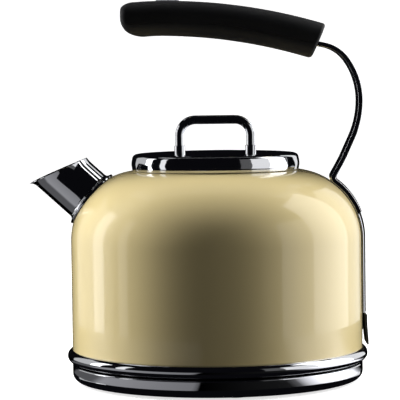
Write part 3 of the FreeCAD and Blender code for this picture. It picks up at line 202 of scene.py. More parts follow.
class KettleStage(bpy.types.PropertyGroup):
    """Camera and studio light."""
    distance: length("Camera Distance", "Camera in front of the kettle's axis", 1500.0)
    aside: length("Camera Aside", "Camera to the side of the kettle's axis", -10.7)
    height: length("Camera Height", "Camera above the worktop", 215.2)
    pitch: angle("Camera Pitch", "Camera tilt below the horizon", 3.554)
    roll: angle("Camera Roll", "Camera turn about its own axis", -0.709)
    lens: FloatProperty(name="Lens", description="Focal length", default=200.6, unit="CAMERA")
    key: FloatProperty(name="Side Light", description="Radiance of the side softboxes",
                       default=2.2, min=0.0)
    top: FloatProperty(name="Top Light", description="Radiance of the overhead softbox",
                       default=5.3, min=0.0)
    floor: colour("Floor", "Worktop and backdrop", (0.93, 0.93, 0.93))


# ------------------------------------------------------------- mesh making
def soften(piece, sharp=SHARP):
    """Smooth shading that keeps the real edges."""
    mesh = piece.data
    mesh.polygons.foreach_set("use_smooth", [True] * len(mesh.polygons))
    mesh.set_sharp_from_angle(angle=math.radians(sharp))
    return piece


def solid(name, points, faces, sharp=SHARP):
    """Object from millimetre points, with doubles merged and faces turned outwards."""
    mesh = bpy.data.meshes.new(name)
    mesh.from_pydata([Vector(point) * MM for point in points], [], faces)
    work = bmesh.new()
    work.from_mesh(mesh)
    bmesh.ops.remove_doubles(work, verts=work.verts, dist=1e-7)
    bmesh.ops.recalc_face_normals(work, faces=work.faces)
    work.to_mesh(mesh)
    work.free()
    piece = bpy.data.objects.new(name, mesh)
    bpy.context.scene.collection.objects.link(piece)
    return soften(piece, sharp)


def skinned(name, loops, ring=True, capped=False, sharp=SHARP):
    """Solid through closed loops of equal length; ring joins the last loop to the first."""
    size = len(loops[0])
    points = [point for loop in loops for point in loop]
    faces = []
    for index in range(len(loops) if ring else len(loops) - 1):
        low = index * size
        high = (index + 1) % len(loops) * size
        for here in range(size):
            after = (here + 1) % size
            faces.append((low + here, low + after, high + after, high + here))
    if capped:
        faces.append(tuple(range(size)))
        faces.append(tuple(range(len(points) - size, len(points))))
    return solid(name, points, faces, sharp)


def rounded(corners, closed=True, step=10.0):
    """Points of an outline whose corners are (x, z) or (x, z, radius)."""
    points = []
    last = len(corners) - 1
    for index, (x, z, *radius) in enumerate(corners):
        here = Vector((x, z))
        if not radius or radius[0] <= 0 or (not closed and index in (0, last)):
            points.append((x, z))
            continue
        back = Vector(corners[index - 1][:2]) - here
        on = Vector(corners[(index + 1) % len(corners)][:2]) - here
        half = back.angle(on) / 2
        reach = min(radius[0] / math.tan(half), back.length, on.length)
        centre = here + (back.normalized() + on.normalized()).normalized() * reach / math.cos(half)
        first = here + back.normalized() * reach - centre
        turn = math.pi - 2 * half
        if first.x * (here - centre).y < first.y * (here - centre).x:
            turn = -turn
        steps = max(2, math.ceil(abs(math.degrees(turn)) / step))
        for part in range(steps + 1):
            bent = first.copy()
            bent.rotate(Matrix.Rotation(turn * part / steps, 2))
            points.append(tuple(centre + bent))
    return points


def between(start, end, count):
    """Points evenly spaced between two others, without the two."""
    return [tuple(a + (b - a) * part / (count + 1) for a, b in zip(start, end))
            for part in range(1, count + 1)]


def arc(centre, radius, start, end, step=6.0):
    """Points along an arc between two angles in degrees."""
    steps = max(2, math.ceil(abs(end - start) / step))
    turns = [math.radians(start + (end - start) * part / steps) for part in range(steps + 1)]
    return [(centre[0] + radius * math.cos(turn), centre[1] + radius * math.sin(turn))
            for turn in turns]


def turned(name, outline, turns=TURNS, sharp=SHARP):
    """Solid turned about the kettle's axis from (radius, height) points."""
    loops = []
    for step in range(turns):
        turn = math.tau * step / turns
        loops.append([(r * math.cos(turn), r * math.sin(turn), z) for r, z in outline])
    return skinned(name, loops, sharp=sharp)


def extruded(name, outline, half):
    """Solid with an XZ outline that reaches half to each side of the middle plane."""
    return skinned(name, [[(x, y, z) for x, z in outline] for y in (-half, half)], False, True)


def slab(name, low, high):
    """Block between two corners."""
    outline = ((low[0], low[2]), (high[0], low[2]), (high[0], high[2]), (low[0], high[2]))
    return skinned(name, [[(x, y, z) for x, z in outline] for y in (low[1], high[1])], False, True)


def swept(name, route, radius, turns=24):
    """Round section along a smooth route of points."""
    route = [Vector(point) for point in route]
    loops = []
    side = (route[1] - route[0]).orthogonal().normalized()
    for index, centre in enumerate(route):
        ahead = route[min(index + 1, len(route) - 1)] - route[max(index - 1, 0)]
        ahead.normalize()
        side = (side - ahead * side.dot(ahead)).normalized()
        other = ahead.cross(side)
        loops.append([centre + radius * (side * math.cos(math.tau * k / turns)
                                         + other * math.sin(math.tau * k / turns))
                      for k in range(turns)])
    return skinned(name, loops, False, True)


def bar(name, start, end, radius, turns=40):
    """Round bar between two points."""
    return swept(name, (start, end), radius, turns)


def placed(piece, matrix):
    """Moves the mesh itself; the matrix's shift is in millimetres."""
    matrix = matrix.copy()
    matrix.translation *= MM
    piece.data.transform(matrix)
    return piece


def joined(name, *parts):
    """One object out of several."""
    work = bmesh.new()
    for part in parts:
        work.from_mesh(part.data)
        bpy.data.objects.remove(part)
    mesh = bpy.data.meshes.new(name)
    work.to_mesh(mesh)
    work.free()
    piece = bpy.data.objects.new(name, mesh)
    bpy.context.scene.collection.objects.link(piece)
    return soften(piece)


def copied(name, pattern, matrices):
    """Copies of a pattern piece in one object; the pattern is used up."""
    copies = []
    for index, matrix in enumerate(matrices):
        copy = bpy.data.objects.new(f"{name}_{index}", pattern.data.copy())
        copies.append(placed(copy, matrix))
    bpy.data.objects.remove(pattern)
    return joined(name, *copies)


def settled(piece):
    """Applies a piece's modifiers to its mesh."""
    bpy.context.view_layer.update()
    graph = bpy.context.evaluated_depsgraph_get()
    piece.data = bpy.data.meshes.new_from_object(piece.evaluated_get(graph))
    piece.modifiers.clear()
    return soften(piece)


def cut(piece, *tools):
    """Cuts tools out of a piece; the tools are used up."""
    for tool in tools:
        change = piece.modifiers.new(tool.name, "BOOLEAN")
        change.operation = "DIFFERENCE"
        change.solver = "EXACT"
        change.object = tool
    settled(piece)
    for tool in tools:
        bpy.data.objects.remove(tool)
    return piece


def bevelled(piece, width, segments=3):
    """Rounds a piece's sharp edges."""
    change = piece.modifiers.new("bevel", "BEVEL")
    change.width = width * MM
    change.segments = segments
    change.limit_method = "ANGLE"
    change.angle_limit = math.radians(SHARP)
    return settled(piece)


def about_axis(turns_deg):
    """Turns about the kettle's axis, as matrices."""
    return [Matrix.Rotation(math.radians(turn), 4, "Z") for turn in turns_deg]


def spots(radius, turns_deg):
    """Places on a circle about the kettle's axis, as matrices."""
    return [turn @ Matrix.Translation((radius, 0, 0)) for turn in about_axis(turns_deg)]


def dress(piece, slot, *nodes):
    """Gives a piece the material of its record slot, if it has none yet, and its body, and hides the CAD
    nodes it stands for.
    """
    if not piece.data.materials:
        piece.data.materials.append(finish(slot))
    even = piece.modifiers.new("even_normals", "WEIGHTED_NORMAL")
    even.keep_sharp = True
    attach(piece, BODY_OF[nodes[0]])
    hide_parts(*nodes)


# ------------------------------------------------------- forms of the parts
class BodyForm:
    """The body's outer surface: a straight wall under a round shoulder.

    A place on it is given by its rise, the distance along the surface from the worktop.
    """

    def __init__(self, sizes):
        self.r = SHELL.r
        self.round = sizes.shoulder
        self.centre_r = SHELL.r - sizes.shoulder
        self.centre_z = SHELL.z1 - sizes.shoulder

    def at(self, rise, offset=0.0):
        """(radius, height) at an offset from the surface."""
        over = rise - self.centre_z
        if over <= 0:
            return self.r + offset, rise
        reach = self.round + offset
        turn = over / self.round
        return self.centre_r + reach * math.cos(turn), self.centre_z + reach * math.sin(turn)

    def rise(self, z, offset=0.0):
        over = z - self.centre_z
        if over <= 0:
            return z
        return self.centre_z + self.round * math.asin(min(1.0, over / (self.round + offset)))

    def point(self, rise, y, offset):
        r, z = self.at(rise, offset)
        return Vector((math.sqrt(r * r - y * y), y, z))

    def above(self, point):
        """How far a point is outside the surface."""
        r = math.hypot(point[0], point[1])
        if point[2] <= self.centre_z:
            return r - self.r
        return math.hypot(r - self.centre_r, point[2] - self.centre_z) - self.round

    def strip(self, name, section, low, high, step=3.0):
        """Strip up the back of the body from (y, offset) points."""
        start = self.rise(low, section[0][1])
        end = self.rise(high, section[0][1])
        count = math.ceil((end - start) / step)
        rises = [start + (end - start) * part / count for part in range(count + 1)]
        loops = [[self.point(rise, y, offset) for y, offset in section] for rise in rises]
        return skinned(name, loops, False, True)


class SpoutAxis:
    """The spout's axis; distances along it count from the shoulder outwards."""

    def __init__(self, sizes):
        self.form = BodyForm(sizes)
        seat = sizes.spout_seat
        self.seat = Vector((-self.form.centre_r - sizes.shoulder * math.cos(seat), 0,
                            self.form.centre_z + sizes.shoulder * math.sin(seat)))
        self.along = Vector((-math.cos(sizes.spout_rise), 0, math.sin(sizes.spout_rise)))
        self.up = Vector((math.sin(sizes.spout_rise), 0, math.cos(sizes.spout_rise)))

    def point(self, r, turn, out):
        around = self.up * math.cos(turn) + Vector((0, 1, 0)) * math.sin(turn)
        return self.seat + self.along * out + around * r

    def foot(self, r, turn, offset):
        """Distance out at which a line beside the axis passes an offset from the body."""
        low, high = -20.0, 20.0
        for _ in range(40):
            middle = (low + high) / 2
            if self.form.above(self.point(r, turn, middle)) < offset:
                low = middle
            else:
                high = middle
        return middle

    def matrix(self):
        """Takes a piece made about +Z to the spout's axis."""
        matrix = Matrix((self.up, (0, 1, 0), self.along)).transposed().to_4x4()
        matrix.translation = self.seat
        return matrix


def walk(here, heading, legs, step=4.0):
    """(point, heading) along straight legs and (turn, radius) bends in the XZ plane."""
    def direction(turn):
        return Vector((math.cos(math.radians(turn)), math.sin(math.radians(turn))))

    here = Vector(here)
    stations = [(here, heading)]
    for leg in legs:
        if isinstance(leg, tuple):
            turn, radius = leg
            centre = here + direction(heading + 90) * radius
            count = math.ceil(turn / step)
            for part in range(1, count + 1):
                now = heading + turn * part / count
                stations.append((centre - direction(now + 90) * radius, now))
            heading += turn
        else:
            count = math.ceil(leg / step)
            for part in range(1, count + 1):
                stations.append((here + direction(heading) * leg * part / count, heading))
        here = stations[-1][0]
    return stations


class StrapLine:
    """Centre line of the strap: up from the shoulder, over the top and into the grip."""
    BENDS = ((24.5, 60.0), (35.0, 47.0), (43.0, 25.0))
    TANG = (58.0, (12.0, 150.0), 28.0)

    def __init__(self, sizes, handle):
        self.form = BodyForm(sizes)
        reach = sizes.shoulder + handle.pad + handle.strap / 2
        foot = handle.foot_angle
        start = (self.form.centre_r + reach * math.cos(foot),
                 self.form.centre_z + reach * math.sin(foot))
        lean = math.degrees(handle.lean)
        self.arch = walk(start, lean, (handle.run, *self.BENDS))
        self.exit, self.heading = self.arch[-1]
        self.tang = walk(self.exit, self.heading, self.TANG)
        back = Vector((math.cos(math.radians(self.heading)), math.sin(math.radians(self.heading))))
        self.split = [self.exit - back * 30.0] + [point for point, _ in self.tang]
        self.split.append(self.split[-1] - Vector((40.0, 0)))
        self.start = Vector(start)
        self.reach = reach

    def height(self, x):
        """Height of the tang's centre line at a place along the grip."""
        for right, left in zip(self.split, self.split[1:]):
            if left.x <= x <= right.x:
                return left.y + (right.y - left.y) * (x - left.x) / (right.x - left.x)
        raise ValueError(f"no part of the tang is at {x}")


def box_section(half, low, high, edge, crown=0.0, across=10):
    """Closed (y, height) section with rounded corners; crown sinks the top's sides."""
    outline = rounded([(-half, low, edge), (half, low, edge), (half, high, edge),
                       (-half, high, edge)], step=30)
    points = []
    for index, point in enumerate(outline):
        after = outline[(index + 1) % len(outline)]
        points.append(point)
        if abs(after[0] - point[0]) > half:
            points += between(point, after, across)
    return [(y, z - crown * (y / half) ** 2 * (z - low) / (high - low)) for y, z in points]


def groove(start, end, level, depth, slope, fillet):
    """Outline corners of a groove between two radii; a negative depth stands below the level."""
    return [(start, level, fillet), (start + slope, level + depth, fillet),
            (end - slope, level + depth, fillet), (end, level, fillet)]


def pan_screw(name, head_r, head, shank_r, long):
    """Pan head screw that points up, head face at zero, with a cross recess below."""
    flat = 0.62 * head_r
    dome = rounded([(0, 0), (flat, 0, 0.6), (head_r, head * 0.45, 0.4), (head_r, head, 0.15),
                    (shank_r, head), (shank_r, long - shank_r), (0, long)], step=20)
    screw = turned(name, dome, 32)
    half_wide = 0.12 * head_r
    recess = 0.75
    arms = [slab(f"{name}_arm_{index}", (-x, -y, -0.4), (x, y, recess))
            for index, (x, y) in enumerate(((flat, half_wide), (half_wide, flat)))]
    return cut(screw, *arms)


def screw_rooms(low, top, circle):
    """Counterbores and clearance holes for a circle of screws that go in from below."""
    head_room, head_depth, shank_room = 3.0, 1.25, 1.55
    tools = []
    for index, spot in enumerate(spots(*circle)):
        head = bar(f"head_room_{index}", (0, 0, low - 2), (0, 0, low + head_depth), head_room)
        shank = bar(f"shank_room_{index}", (0, 0, low), (0, 0, top + 1), shank_room)
        tools += [placed(head, spot), placed(shank, spot)]
    return tools


def socket_screw(name, head_r, head, socket_r):
    """Cap screw head that points up, with a six sided socket below."""
    outline = rounded([(0, 0), (head_r, 0, 0.4), (head_r, head, 0.2), (0, head)], step=20)
    screw = turned(name, outline, 48)
    corners = [(socket_r * math.cos(math.tau * k / 6), socket_r * math.sin(math.tau * k / 6))
               for k in range(6)]
    key = skinned(f"{name}_key", [[(x, y, z) for x, y in corners] for z in (-1.0, head * 0.7)],
                  False, True)
    return cut(screw, key)


# ----------------------------------------------------------- shader groups
def node(tree, kind, inputs=None, **settings):
    """Adds a shader node; an input is a value or a socket to link."""
    made = tree.nodes.new("ShaderNode" + kind)
    for name, value in settings.items():
        setattr(made, name, value)
    for key, value in (inputs or {}).items():
        if isinstance(value, bpy.types.NodeSocket):
            tree.links.new(value, made.inputs[key])
        else:
            made.inputs[key].default_value = value
    return made


def math_node(tree, operation, first, second=0.0, clamp=False):
    made = node(tree, "Math", {0: first, 1: second}, operation=operation, use_clamp=clamp)
    return made.outputs[0]


def ramp(tree, value, low, high, out_low=0.0, out_high=1.0):
    """Smooth step of a value from one range to another."""
    made = node(tree, "MapRange", {"Value": value, "From Min": low, "From Max": high,
                                   "To Min": out_low, "To Max": out_high},
                interpolation_type="SMOOTHSTEP")
    return made.outputs[0]


def noise(tree, vector, scale, detail=3.0, rough=0.55):
    made = node(tree, "TexNoise", {"Vector": vector, "Scale": scale, "Detail": detail,
                                   "Roughness": rough})
    return made.outputs["Fac"]


def place(tree):
    return node(tree, "TexCoord").outputs["Object"]


def new_group(name, inputs, outputs):
    """Empty shader group and its input sockets by name."""
    tree = bpy.data.node_groups.new(name, "ShaderNodeTree")
    for label, default in inputs.items():
        kind = "NodeSocketColor" if isinstance(default, tuple) else "NodeSocketFloat"
        tree.interface.new_socket(label, in_out="INPUT", socket_type=kind).default_value = default
    for label, kind in outputs.items():
        tree.interface.new_socket(label, in_out="OUTPUT", socket_type="NodeSocket" + kind)
    source = tree.nodes.new("NodeGroupInput")
    return tree, {label: source.outputs[label] for label in inputs}


def close_group(tree, **results):
    """Links results to the group's outputs."""
    sink = tree.nodes.new("NodeGroupOutput")
    for label, socket in results.items():
        tree.links.new(socket, sink.inputs[label])


def per_metre(tree, size_mm):
    """Texture scale for features of a size in millimetres."""
    return math_node(tree, "DIVIDE", 1 / MM, size_mm)


def build_grain():
    """Fine moulded or sprayed grain."""
    tree, given = new_group("Surface Grain", {"Size": 0.6, "Ripple Size": 8.0, "Ripple Share": 0.3},
                            {"Height": "Float"})
    where = place(tree)
    fine = noise(tree, where, per_metre(tree, given["Size"]), 2.0, 0.5)
    broad = noise(tree, where, per_metre(tree, given["Ripple Size"]), 2.0, 0.4)
    share_left = math_node(tree, "SUBTRACT", 1.0, given["Ripple Share"])
    height = math_node(tree, "ADD", math_node(tree, "MULTIPLY", fine, share_left),
                       math_node(tree, "MULTIPLY", broad, given["Ripple Share"]))
    close_group(tree, Height=height)


def build_marks():
    """Smudges and faint wipes left by hands and cloths."""
    tree, given = new_group("Handling Marks", {"Size": 45.0, "Amount": 0.3}, {"Mask": "Float"})
    where = place(tree)
    patch = noise(tree, where, per_metre(tree, given["Size"]), 4.0, 0.6)
    patch = ramp(tree, patch, 0.46, 0.68)
    stretched = node(tree, "Mapping", {"Vector": where, "Rotation": (0.3, 0.2, 0.6),
                                       "Scale": (1.0, 6.0, 2.5)}).outputs[0]
    wipe = noise(tree, stretched, per_metre(tree, math_node(tree, "MULTIPLY", given["Size"], 0.2)),
                 3.0, 0.7)
    mask = math_node(tree, "MULTIPLY", patch, ramp(tree, wipe, 0.35, 0.7))
    close_group(tree, Mask=math_node(tree, "MULTIPLY", mask, given["Amount"], True))


def build_wear():
    """Rubbed outer edges, broken up by noise."""
    tree, given = new_group("Edge Wear", {"Amount": 0.3, "Patch Size": 9.0}, {"Mask": "Float"})
    edge = node(tree, "NewGeometry").outputs["Pointiness"]
    edge = ramp(tree, edge, 0.515, 0.6)
    patch = ramp(tree, noise(tree, place(tree), per_metre(tree, given["Patch Size"])), 0.35, 0.65)
    mask = math_node(tree, "MULTIPLY", math_node(tree, "MULTIPLY", edge, patch), given["Amount"], True)
    close_group(tree, Mask=mask)


def build_lines():
    """Fine lines left by turning, round the kettle's axis."""
    tree, given = new_group("Turned Lines", {"Pitch": 0.4}, {"Height": "Float"})
    parts = node(tree, "SeparateXYZ", {0: place(tree)})
    flat = node(tree, "CombineXYZ", {0: parts.outputs[0], 1: parts.outputs[1]}).outputs[0]
    out = node(tree, "VectorMath", {0: flat}, operation="LENGTH").outputs["Value"]
    line = node(tree, "CombineXYZ", {0: out, 1: parts.outputs[2]}).outputs[0]
    close_group(tree, Height=noise(tree, line, per_metre(tree, given["Pitch"]), 3.0, 0.8))


def build_dust():
    """Film of dust on faces that look up."""
    tree, given = new_group("Dust Film", {"Amount": 0.05, "Speck Size": 1.2}, {"Mask": "Float"})
    up = node(tree, "SeparateXYZ", {0: node(tree, "NewGeometry").outputs["Normal"]}).outputs[2]
    up = ramp(tree, up, 0.4, 1.0)
    speck = noise(tree, place(tree), per_metre(tree, given["Speck Size"]), 5.0, 0.75)
    mask = math_node(tree, "MULTIPLY", up, ramp(tree, speck, 0.4, 0.75))
    close_group(tree, Mask=math_node(tree, "MULTIPLY", mask, given["Amount"], True))


def build_drift():
    """Slight change of tone from place to place."""
    tree, given = new_group("Tone Drift", {"Color": (0.5, 0.5, 0.5, 1.0), "Size": 60.0,
                                           "Amount": 0.06}, {"Color": "Color"})
    patch = noise(tree, place(tree), per_metre(tree, given["Size"]), 3.0, 0.5)
    shift = math_node(tree, "MULTIPLY", math_node(tree, "SUBTRACT", patch, 0.5), given["Amount"])
    value = math_node(tree, "ADD", shift, 1.0)
    hue = node(tree, "HueSaturation", {"Color": given["Color"], "Value": value,
                                       "Saturation": math_node(tree, "ADD", shift, 1.0)})
    close_group(tree, Color=hue.outputs[0])


def grouped(tree, name, **inputs):
    """Places a shader group with its own values."""
    made = tree.nodes.new("ShaderNodeGroup")
    made.node_tree = bpy.data.node_groups[name]
    for label, value in inputs.items():
        made.inputs[label.replace("_", " ")].default_value = value
    return made.outputs[0]


def finish(slot):
    return bpy.data.materials[slot]


DUST = (0.55, 0.52, 0.48, 1.0)


@dataclass
class Finish:
    """What sets one material apart; sizes are millimetres."""
    slot: str
    colour_name: str
    roughness: float
    metallic: float = 0.0
    coat: float = 0.0
    coat_rough: float = 0.03
    specular: float = 0.5
    sheen: float = 0.0
    grain: float = 0.6          # size of the surface grain
    depth: float = 0.004        # height of the grain
    ripple: float = 8.0         # size of the broad waves under the grain
    ripple_share: float = 0.3
    lines: float = 0.0          # height of the lines left by turning
    drift: float = 0.06         # change of tone from place to place
    marks: float = 0.15
    dust: float = 0.03
    wear: float = 0.0
    wear_to: tuple = (0.3, 0.3, 0.3)

    def build(self, colours):
        """Principled material with drifting tone, marks, dust, rubbed edges and relief."""
        made = bpy.data.materials.new(self.slot)
        made.use_nodes = True
        tree = made.node_tree
        shader = tree.nodes["Principled BSDF"]
        tint = tuple(getattr(colours, self.colour_name))
        made.diffuse_color = tint
        base = grouped(tree, "Tone Drift", Color=tint, Amount=self.drift)
        marks = grouped(tree, "Handling Marks", Amount=self.marks * colours.smudges * 4)
        dust = grouped(tree, "Dust Film", Amount=self.dust)
        wear = grouped(tree, "Edge Wear", Amount=self.wear * colours.wear * 3)
        for mask, covered in ((wear, (*self.wear_to, 1.0)), (dust, DUST)):
            base = node(tree, "Mix", {0: mask, 6: base, 7: covered}, data_type="RGBA").outputs[2]
        tree.links.new(base, shader.inputs["Base Color"])
        dulled = math_node(tree, "ADD", math_node(tree, "MULTIPLY", marks, 0.35), dust)
        rough = math_node(tree, "ADD", dulled, self.roughness, True)
        tree.links.new(rough, shader.inputs["Roughness"])
        height = grouped(tree, "Surface Grain", Size=self.grain, Ripple_Size=self.ripple,
                         Ripple_Share=self.ripple_share)
        bump = node(tree, "Bump", {"Height": height, "Distance": self.depth * MM, "Strength": 1.0})
        if self.lines:
            turning = grouped(tree, "Turned Lines", Pitch=0.5)
            bump = node(tree, "Bump", {"Height": turning, "Distance": self.lines * MM,
                                       "Strength": 1.0, "Normal": bump.outputs[0]})
        tree.links.new(bump.outputs[0], shader.inputs["Normal"])
        for label, value in (("Metallic", self.metallic), ("Coat Weight", self.coat),
                             ("Coat Roughness", self.coat_rough), ("Sheen Weight", self.sheen),
                             ("Specular IOR Level", self.specular)):
            shader.inputs[label].default_value = value


FINISHES = (
    Finish("enamel_cream", "enamel", 0.25, coat=1.0, coat_rough=0.02, grain=1.6, depth=0.0015,
           ripple=9.0, ripple_share=0.6, drift=0.03, marks=0.05, dust=0.02, specular=0.2),
    Finish("chrome", "chrome", 0.045, metallic=1.0, grain=2.0, depth=0.0006, ripple=14.0,
           ripple_share=0.7, drift=0.03, marks=0.1, dust=0.02),
    Finish("stainless", "steel", 0.2, metallic=1.0, grain=0.5, depth=0.001, lines=0.003, drift=0.08,
           marks=0.25, wear=0.1, wear_to=(0.8, 0.8, 0.8)),
    Finish("black_plastic", "plastic", 0.42, grain=0.35, depth=0.006, ripple=5.0, ripple_share=0.15,
           drift=0.25, wear=0.25, wear_to=(0.07, 0.07, 0.07)),
    Finish("soft_black", "grip", 0.52, grain=0.3, depth=0.004, ripple=4.0, ripple_share=0.2,
           drift=0.3, marks=0.3, wear=0.2, wear_to=(0.04, 0.04, 0.04), sheen=0.02),
    Finish("pad_grey", "pad", 0.7, grain=0.45, depth=0.012, ripple=3.0, ripple_share=0.2, drift=0.2,
           wear=0.4, wear_to=(0.16, 0.16, 0.17), sheen=0.15),
    Finish("rubber", "rubber", 0.75, grain=0.5, depth=0.015, drift=0.25, wear=0.4,
           wear_to=(0.09, 0.09, 0.09), dust=0.08),
    Finish("silicone", "silicone", 0.45, grain=0.8, depth=0.006, drift=0.1, marks=0.1),
    Finish("brass", "brass", 0.22, metallic=1.0, grain=0.4, depth=0.002, lines=0.002, drift=0.15,
           marks=0.3, wear=0.3, wear_to=(0.9, 0.75, 0.45)),
    Finish("aluminium", "aluminium", 0.35, metallic=1.0, grain=0.5, depth=0.004, lines=0.004,
           drift=0.08, marks=0.3),
    Finish("control_plastic", "control", 0.45, grain=0.4, depth=0.006, drift=0.08, marks=0.1,
           wear=0.3, wear_to=(0.8, 0.78, 0.74)),
    Finish("zinc_steel", "zinc", 0.3, metallic=1.0, grain=0.6, depth=0.004, drift=0.15,
           marks=0.2, wear=0.4, wear_to=(0.75, 0.76, 0.78)),
    Finish("lead_sleeve", "sleeve", 0.8, grain=0.5, depth=0.03, ripple=1.2, ripple_share=0.6,
           drift=0.3, sheen=0.2),
)


# circles of like pieces: radius in millimetres, and turns in degrees
BASE_SCREWS = (60.0, (-40.0, 50.0, 140.0, 230.0))
COVER_SCREWS = (76.0, (60.0, 180.0, 300.0))
OUTER_FEET = (77.0, (-82.0, 8.0, 98.0, 188.0))

# sizes that several pieces of the base share
BAND_WALL = 1.1
BAND_LIP = 3.4              # inward lip of the band that holds deck and floor
OUTLET_Z = 6.9              # height of the cable outlet's axis
OUTLET_BORE = 3.2
OUTLET_HALF = 4.6           # half width of the outlet's block
HUB_BORE = 3.2              # round hole in the middle of the connector
HUB_R = 17.0


# --------------------------------------------------------------- operators
def sizes_of(context):
    return in_mm(context.scene.kettle_sizes)


def handle_of(context):
    return in_mm(context.scene.kettle_handle)


class KETTLE_OT_finishes(bpy.types.Operator):
    """Shared shader groups, and one material for each finish"""
    bl_idname = "kettle.finishes"
    bl_label = "Finishes"

    def execute(self, context):
        for plain in list(bpy.data.materials):
            bpy.data.materials.remove(plain)
        for build in (build_grain, build_marks, build_wear, build_lines, build_dust, build_drift):
            build()
        for entry in FINISHES:
            entry.build(context.scene.kettle_finishes)
        return {"FINISHED"}


class KETTLE_OT_base_band(bpy.types.Operator):
    """Chromed band round the power base"""
    bl_idname = "kettle.base_band"
    bl_label = "Base Band"

    def execute(self, context):
        sizes = sizes_of(context)
        r, low, high, wall = BAND.r, BAND.z0, BAND.z1, BAND_WALL
        lip = r - wall - BAND_LIP
        under = r - sizes.band_corner - 4.0
        outline = rounded([
            (under, low, 0.3), (r, low, sizes.band_corner), (r, high, sizes.band_edge),
            (lip, high, 0.3), (lip, high - wall, 0.3), (r - wall, high - wall, 0.4),
            (r - wall, low + wall, sizes.band_corner - wall), (under, low + wall, 0.3)])
        band = turned("base_band", outline)
        hole = bar("outlet_hole", (0, r - 12, OUTLET_Z), (0, r + 5, OUTLET_Z), 4.35)
        dress(cut(band, hole), "chrome", "base_trim_band")
        return {"FINISHED"}


class KETTLE_OT_base_plate(bpy.types.Operator):
    """Top of the power base with its seat ring and shallow run-off grooves"""
    bl_idname = "kettle.base_plate"
    bl_label = "Base Plate"

    def execute(self, context):
        collar = Span("glide_collar")
        surface = collar.z0
        low = surface - 1.5
        hole = collar.r - 2.55
        under_lip = BAND.z1 - BAND_WALL - 0.1
        outline = [(hole, low), (hole, surface, 0.3), (22.0, surface)]
        for r in (26.0, 44.0, 62.0):
            outline += groove(r, r + 1.8, surface, -0.4, 0.4, 0.3) + [(r + 9.0, surface)]
        outline += [(79.0, surface, 0.6), (80.0, DECK.z1, 0.6), (89.0, DECK.z1, 0.6),
                    (90.0, surface, 0.6), (BAND.r - 4.8, surface, 0.3), (BAND.r - 4.8, under_lip),
                    (BAND.r - 1.4, under_lip), (BAND.r - 1.4, low), (60.0, low), (40.0, low)]
        plate = turned("base_plate", rounded(outline, step=30))
        dress(plate, "black_plastic", "base_deck")
        return {"FINISHED"}


class KETTLE_OT_base_underside(bpy.types.Operator):
    """Floor of the power base with counterbored screw holes and stiffening rings"""
    bl_idname = "kettle.base_underside"
    bl_label = "Base Underside"

    def execute(self, context):
        low, top, rim, step_z = 2.2, 4.2, 88.2, 2.75
        outline = [(0, low)] + groove(24.0, 28.0, low, 0.6, 0.5, 0.4)
        outline += groove(48.0, 52.0, low, 0.6, 0.5, 0.4)
        outline += [(rim, low, 0.3), (rim, step_z), (rim + 3.3, step_z), (rim + 3.3, top), (0, top)]
        plate = turned("base_underside", rounded(outline, step=30))
        notch = slab("outlet_room", (-OUTLET_HALF - 0.05, 83.95, low - 2),
                     (OUTLET_HALF + 0.05, 100, top + 2))
        cut(plate, notch, *screw_rooms(low, top, BASE_SCREWS))
        dress(plate, "black_plastic", "base_floor")
        return {"FINISHED"}


class KETTLE_OT_feet(bpy.types.Operator):
    """Five rubber feet with a dished sole"""
    bl_idname = "kettle.feet"
    bl_label = "Rubber Feet"

    def execute(self, context):
        outline = rounded([(0, 0.5), (4.2, 0.5, 0.6), (5.0, 0, 0.4), (7.4, 0, 0.5), (8.5, 0.9, 0.8),
                           (8.5, 2.15, 0.1), (2.6, 2.15), (2.6, 4.25), (3.4, 4.3, 0.2),
                           (3.1, 5.05, 0.2), (0, 5.05)], step=15)
        foot = turned("foot", outline, 64)
        feet = copied("rubber_feet", foot, spots(*OUTER_FEET) + [Matrix()])
        dress(feet, "rubber", "base_feet")
        return {"FINISHED"}


class KETTLE_OT_screws(bpy.types.Operator):
    """Small screws under the base and under the kettle"""
    bl_idname = "kettle.screws"
    bl_label = "Underside Screws"

    def execute(self, context):
        for name, node_name, circle in (("base_screw_set", "base_screws", BASE_SCREWS),
                                        ("cover_screw_set", "cover_screws", COVER_SCREWS)):
            span = Span(node_name)
            screw = pan_screw(f"{name}_pattern", 2.8, 1.2, 1.25, span.z1 - span.z0)
            screw = placed(screw, Matrix.Translation((0, 0, span.z0)))
            dress(copied(name, screw, spots(*circle)), "zinc_steel", node_name)
        return {"FINISHED"}


class KETTLE_OT_outlet(bpy.types.Operator):
    """Cable outlet at the back of the base, with a flared mouth"""
    bl_idname = "kettle.outlet"
    bl_label = "Cable Outlet"

    def execute(self, context):
        start = Span("cord_gland").y0
        bore, collar, neck = OUTLET_BORE, OUTLET_BORE + 1.1, OUTLET_BORE + 0.85
        outline = rounded([(bore, 0), (bore, 15.2, 0.8), (collar, 16.0, 0.4), (collar, 14.4, 0.3),
                           (neck, 13.9, 0.3), (neck, 12.0, 0.3), (collar, 11.5, 0.3), (collar, 0)],
                          step=15)
        sleeve = placed(turned("sleeve", outline, 64), Matrix.Translation((0, start, OUTLET_Z))
                        @ Matrix.Rotation(math.radians(-90), 4, "X"))
        half, ledge = OUTLET_HALF, 4.6
        foot = slab("gland_foot", (-half, start, 2.4), (half, 88.2, ledge))
        body = slab("gland_body", (-half, start, ledge), (half, 95.2, 9.4))
        hole = bar("gland_bore", (0, start - 2, OUTLET_Z), (0, 110, OUTLET_Z), bore)
        block = bevelled(cut(joined("gland_block", foot, body), hole), 0.25, 2)
        dress(joined("cable_outlet", sleeve, block), "black_plastic", "cord_gland")
        return {"FINISHED"}


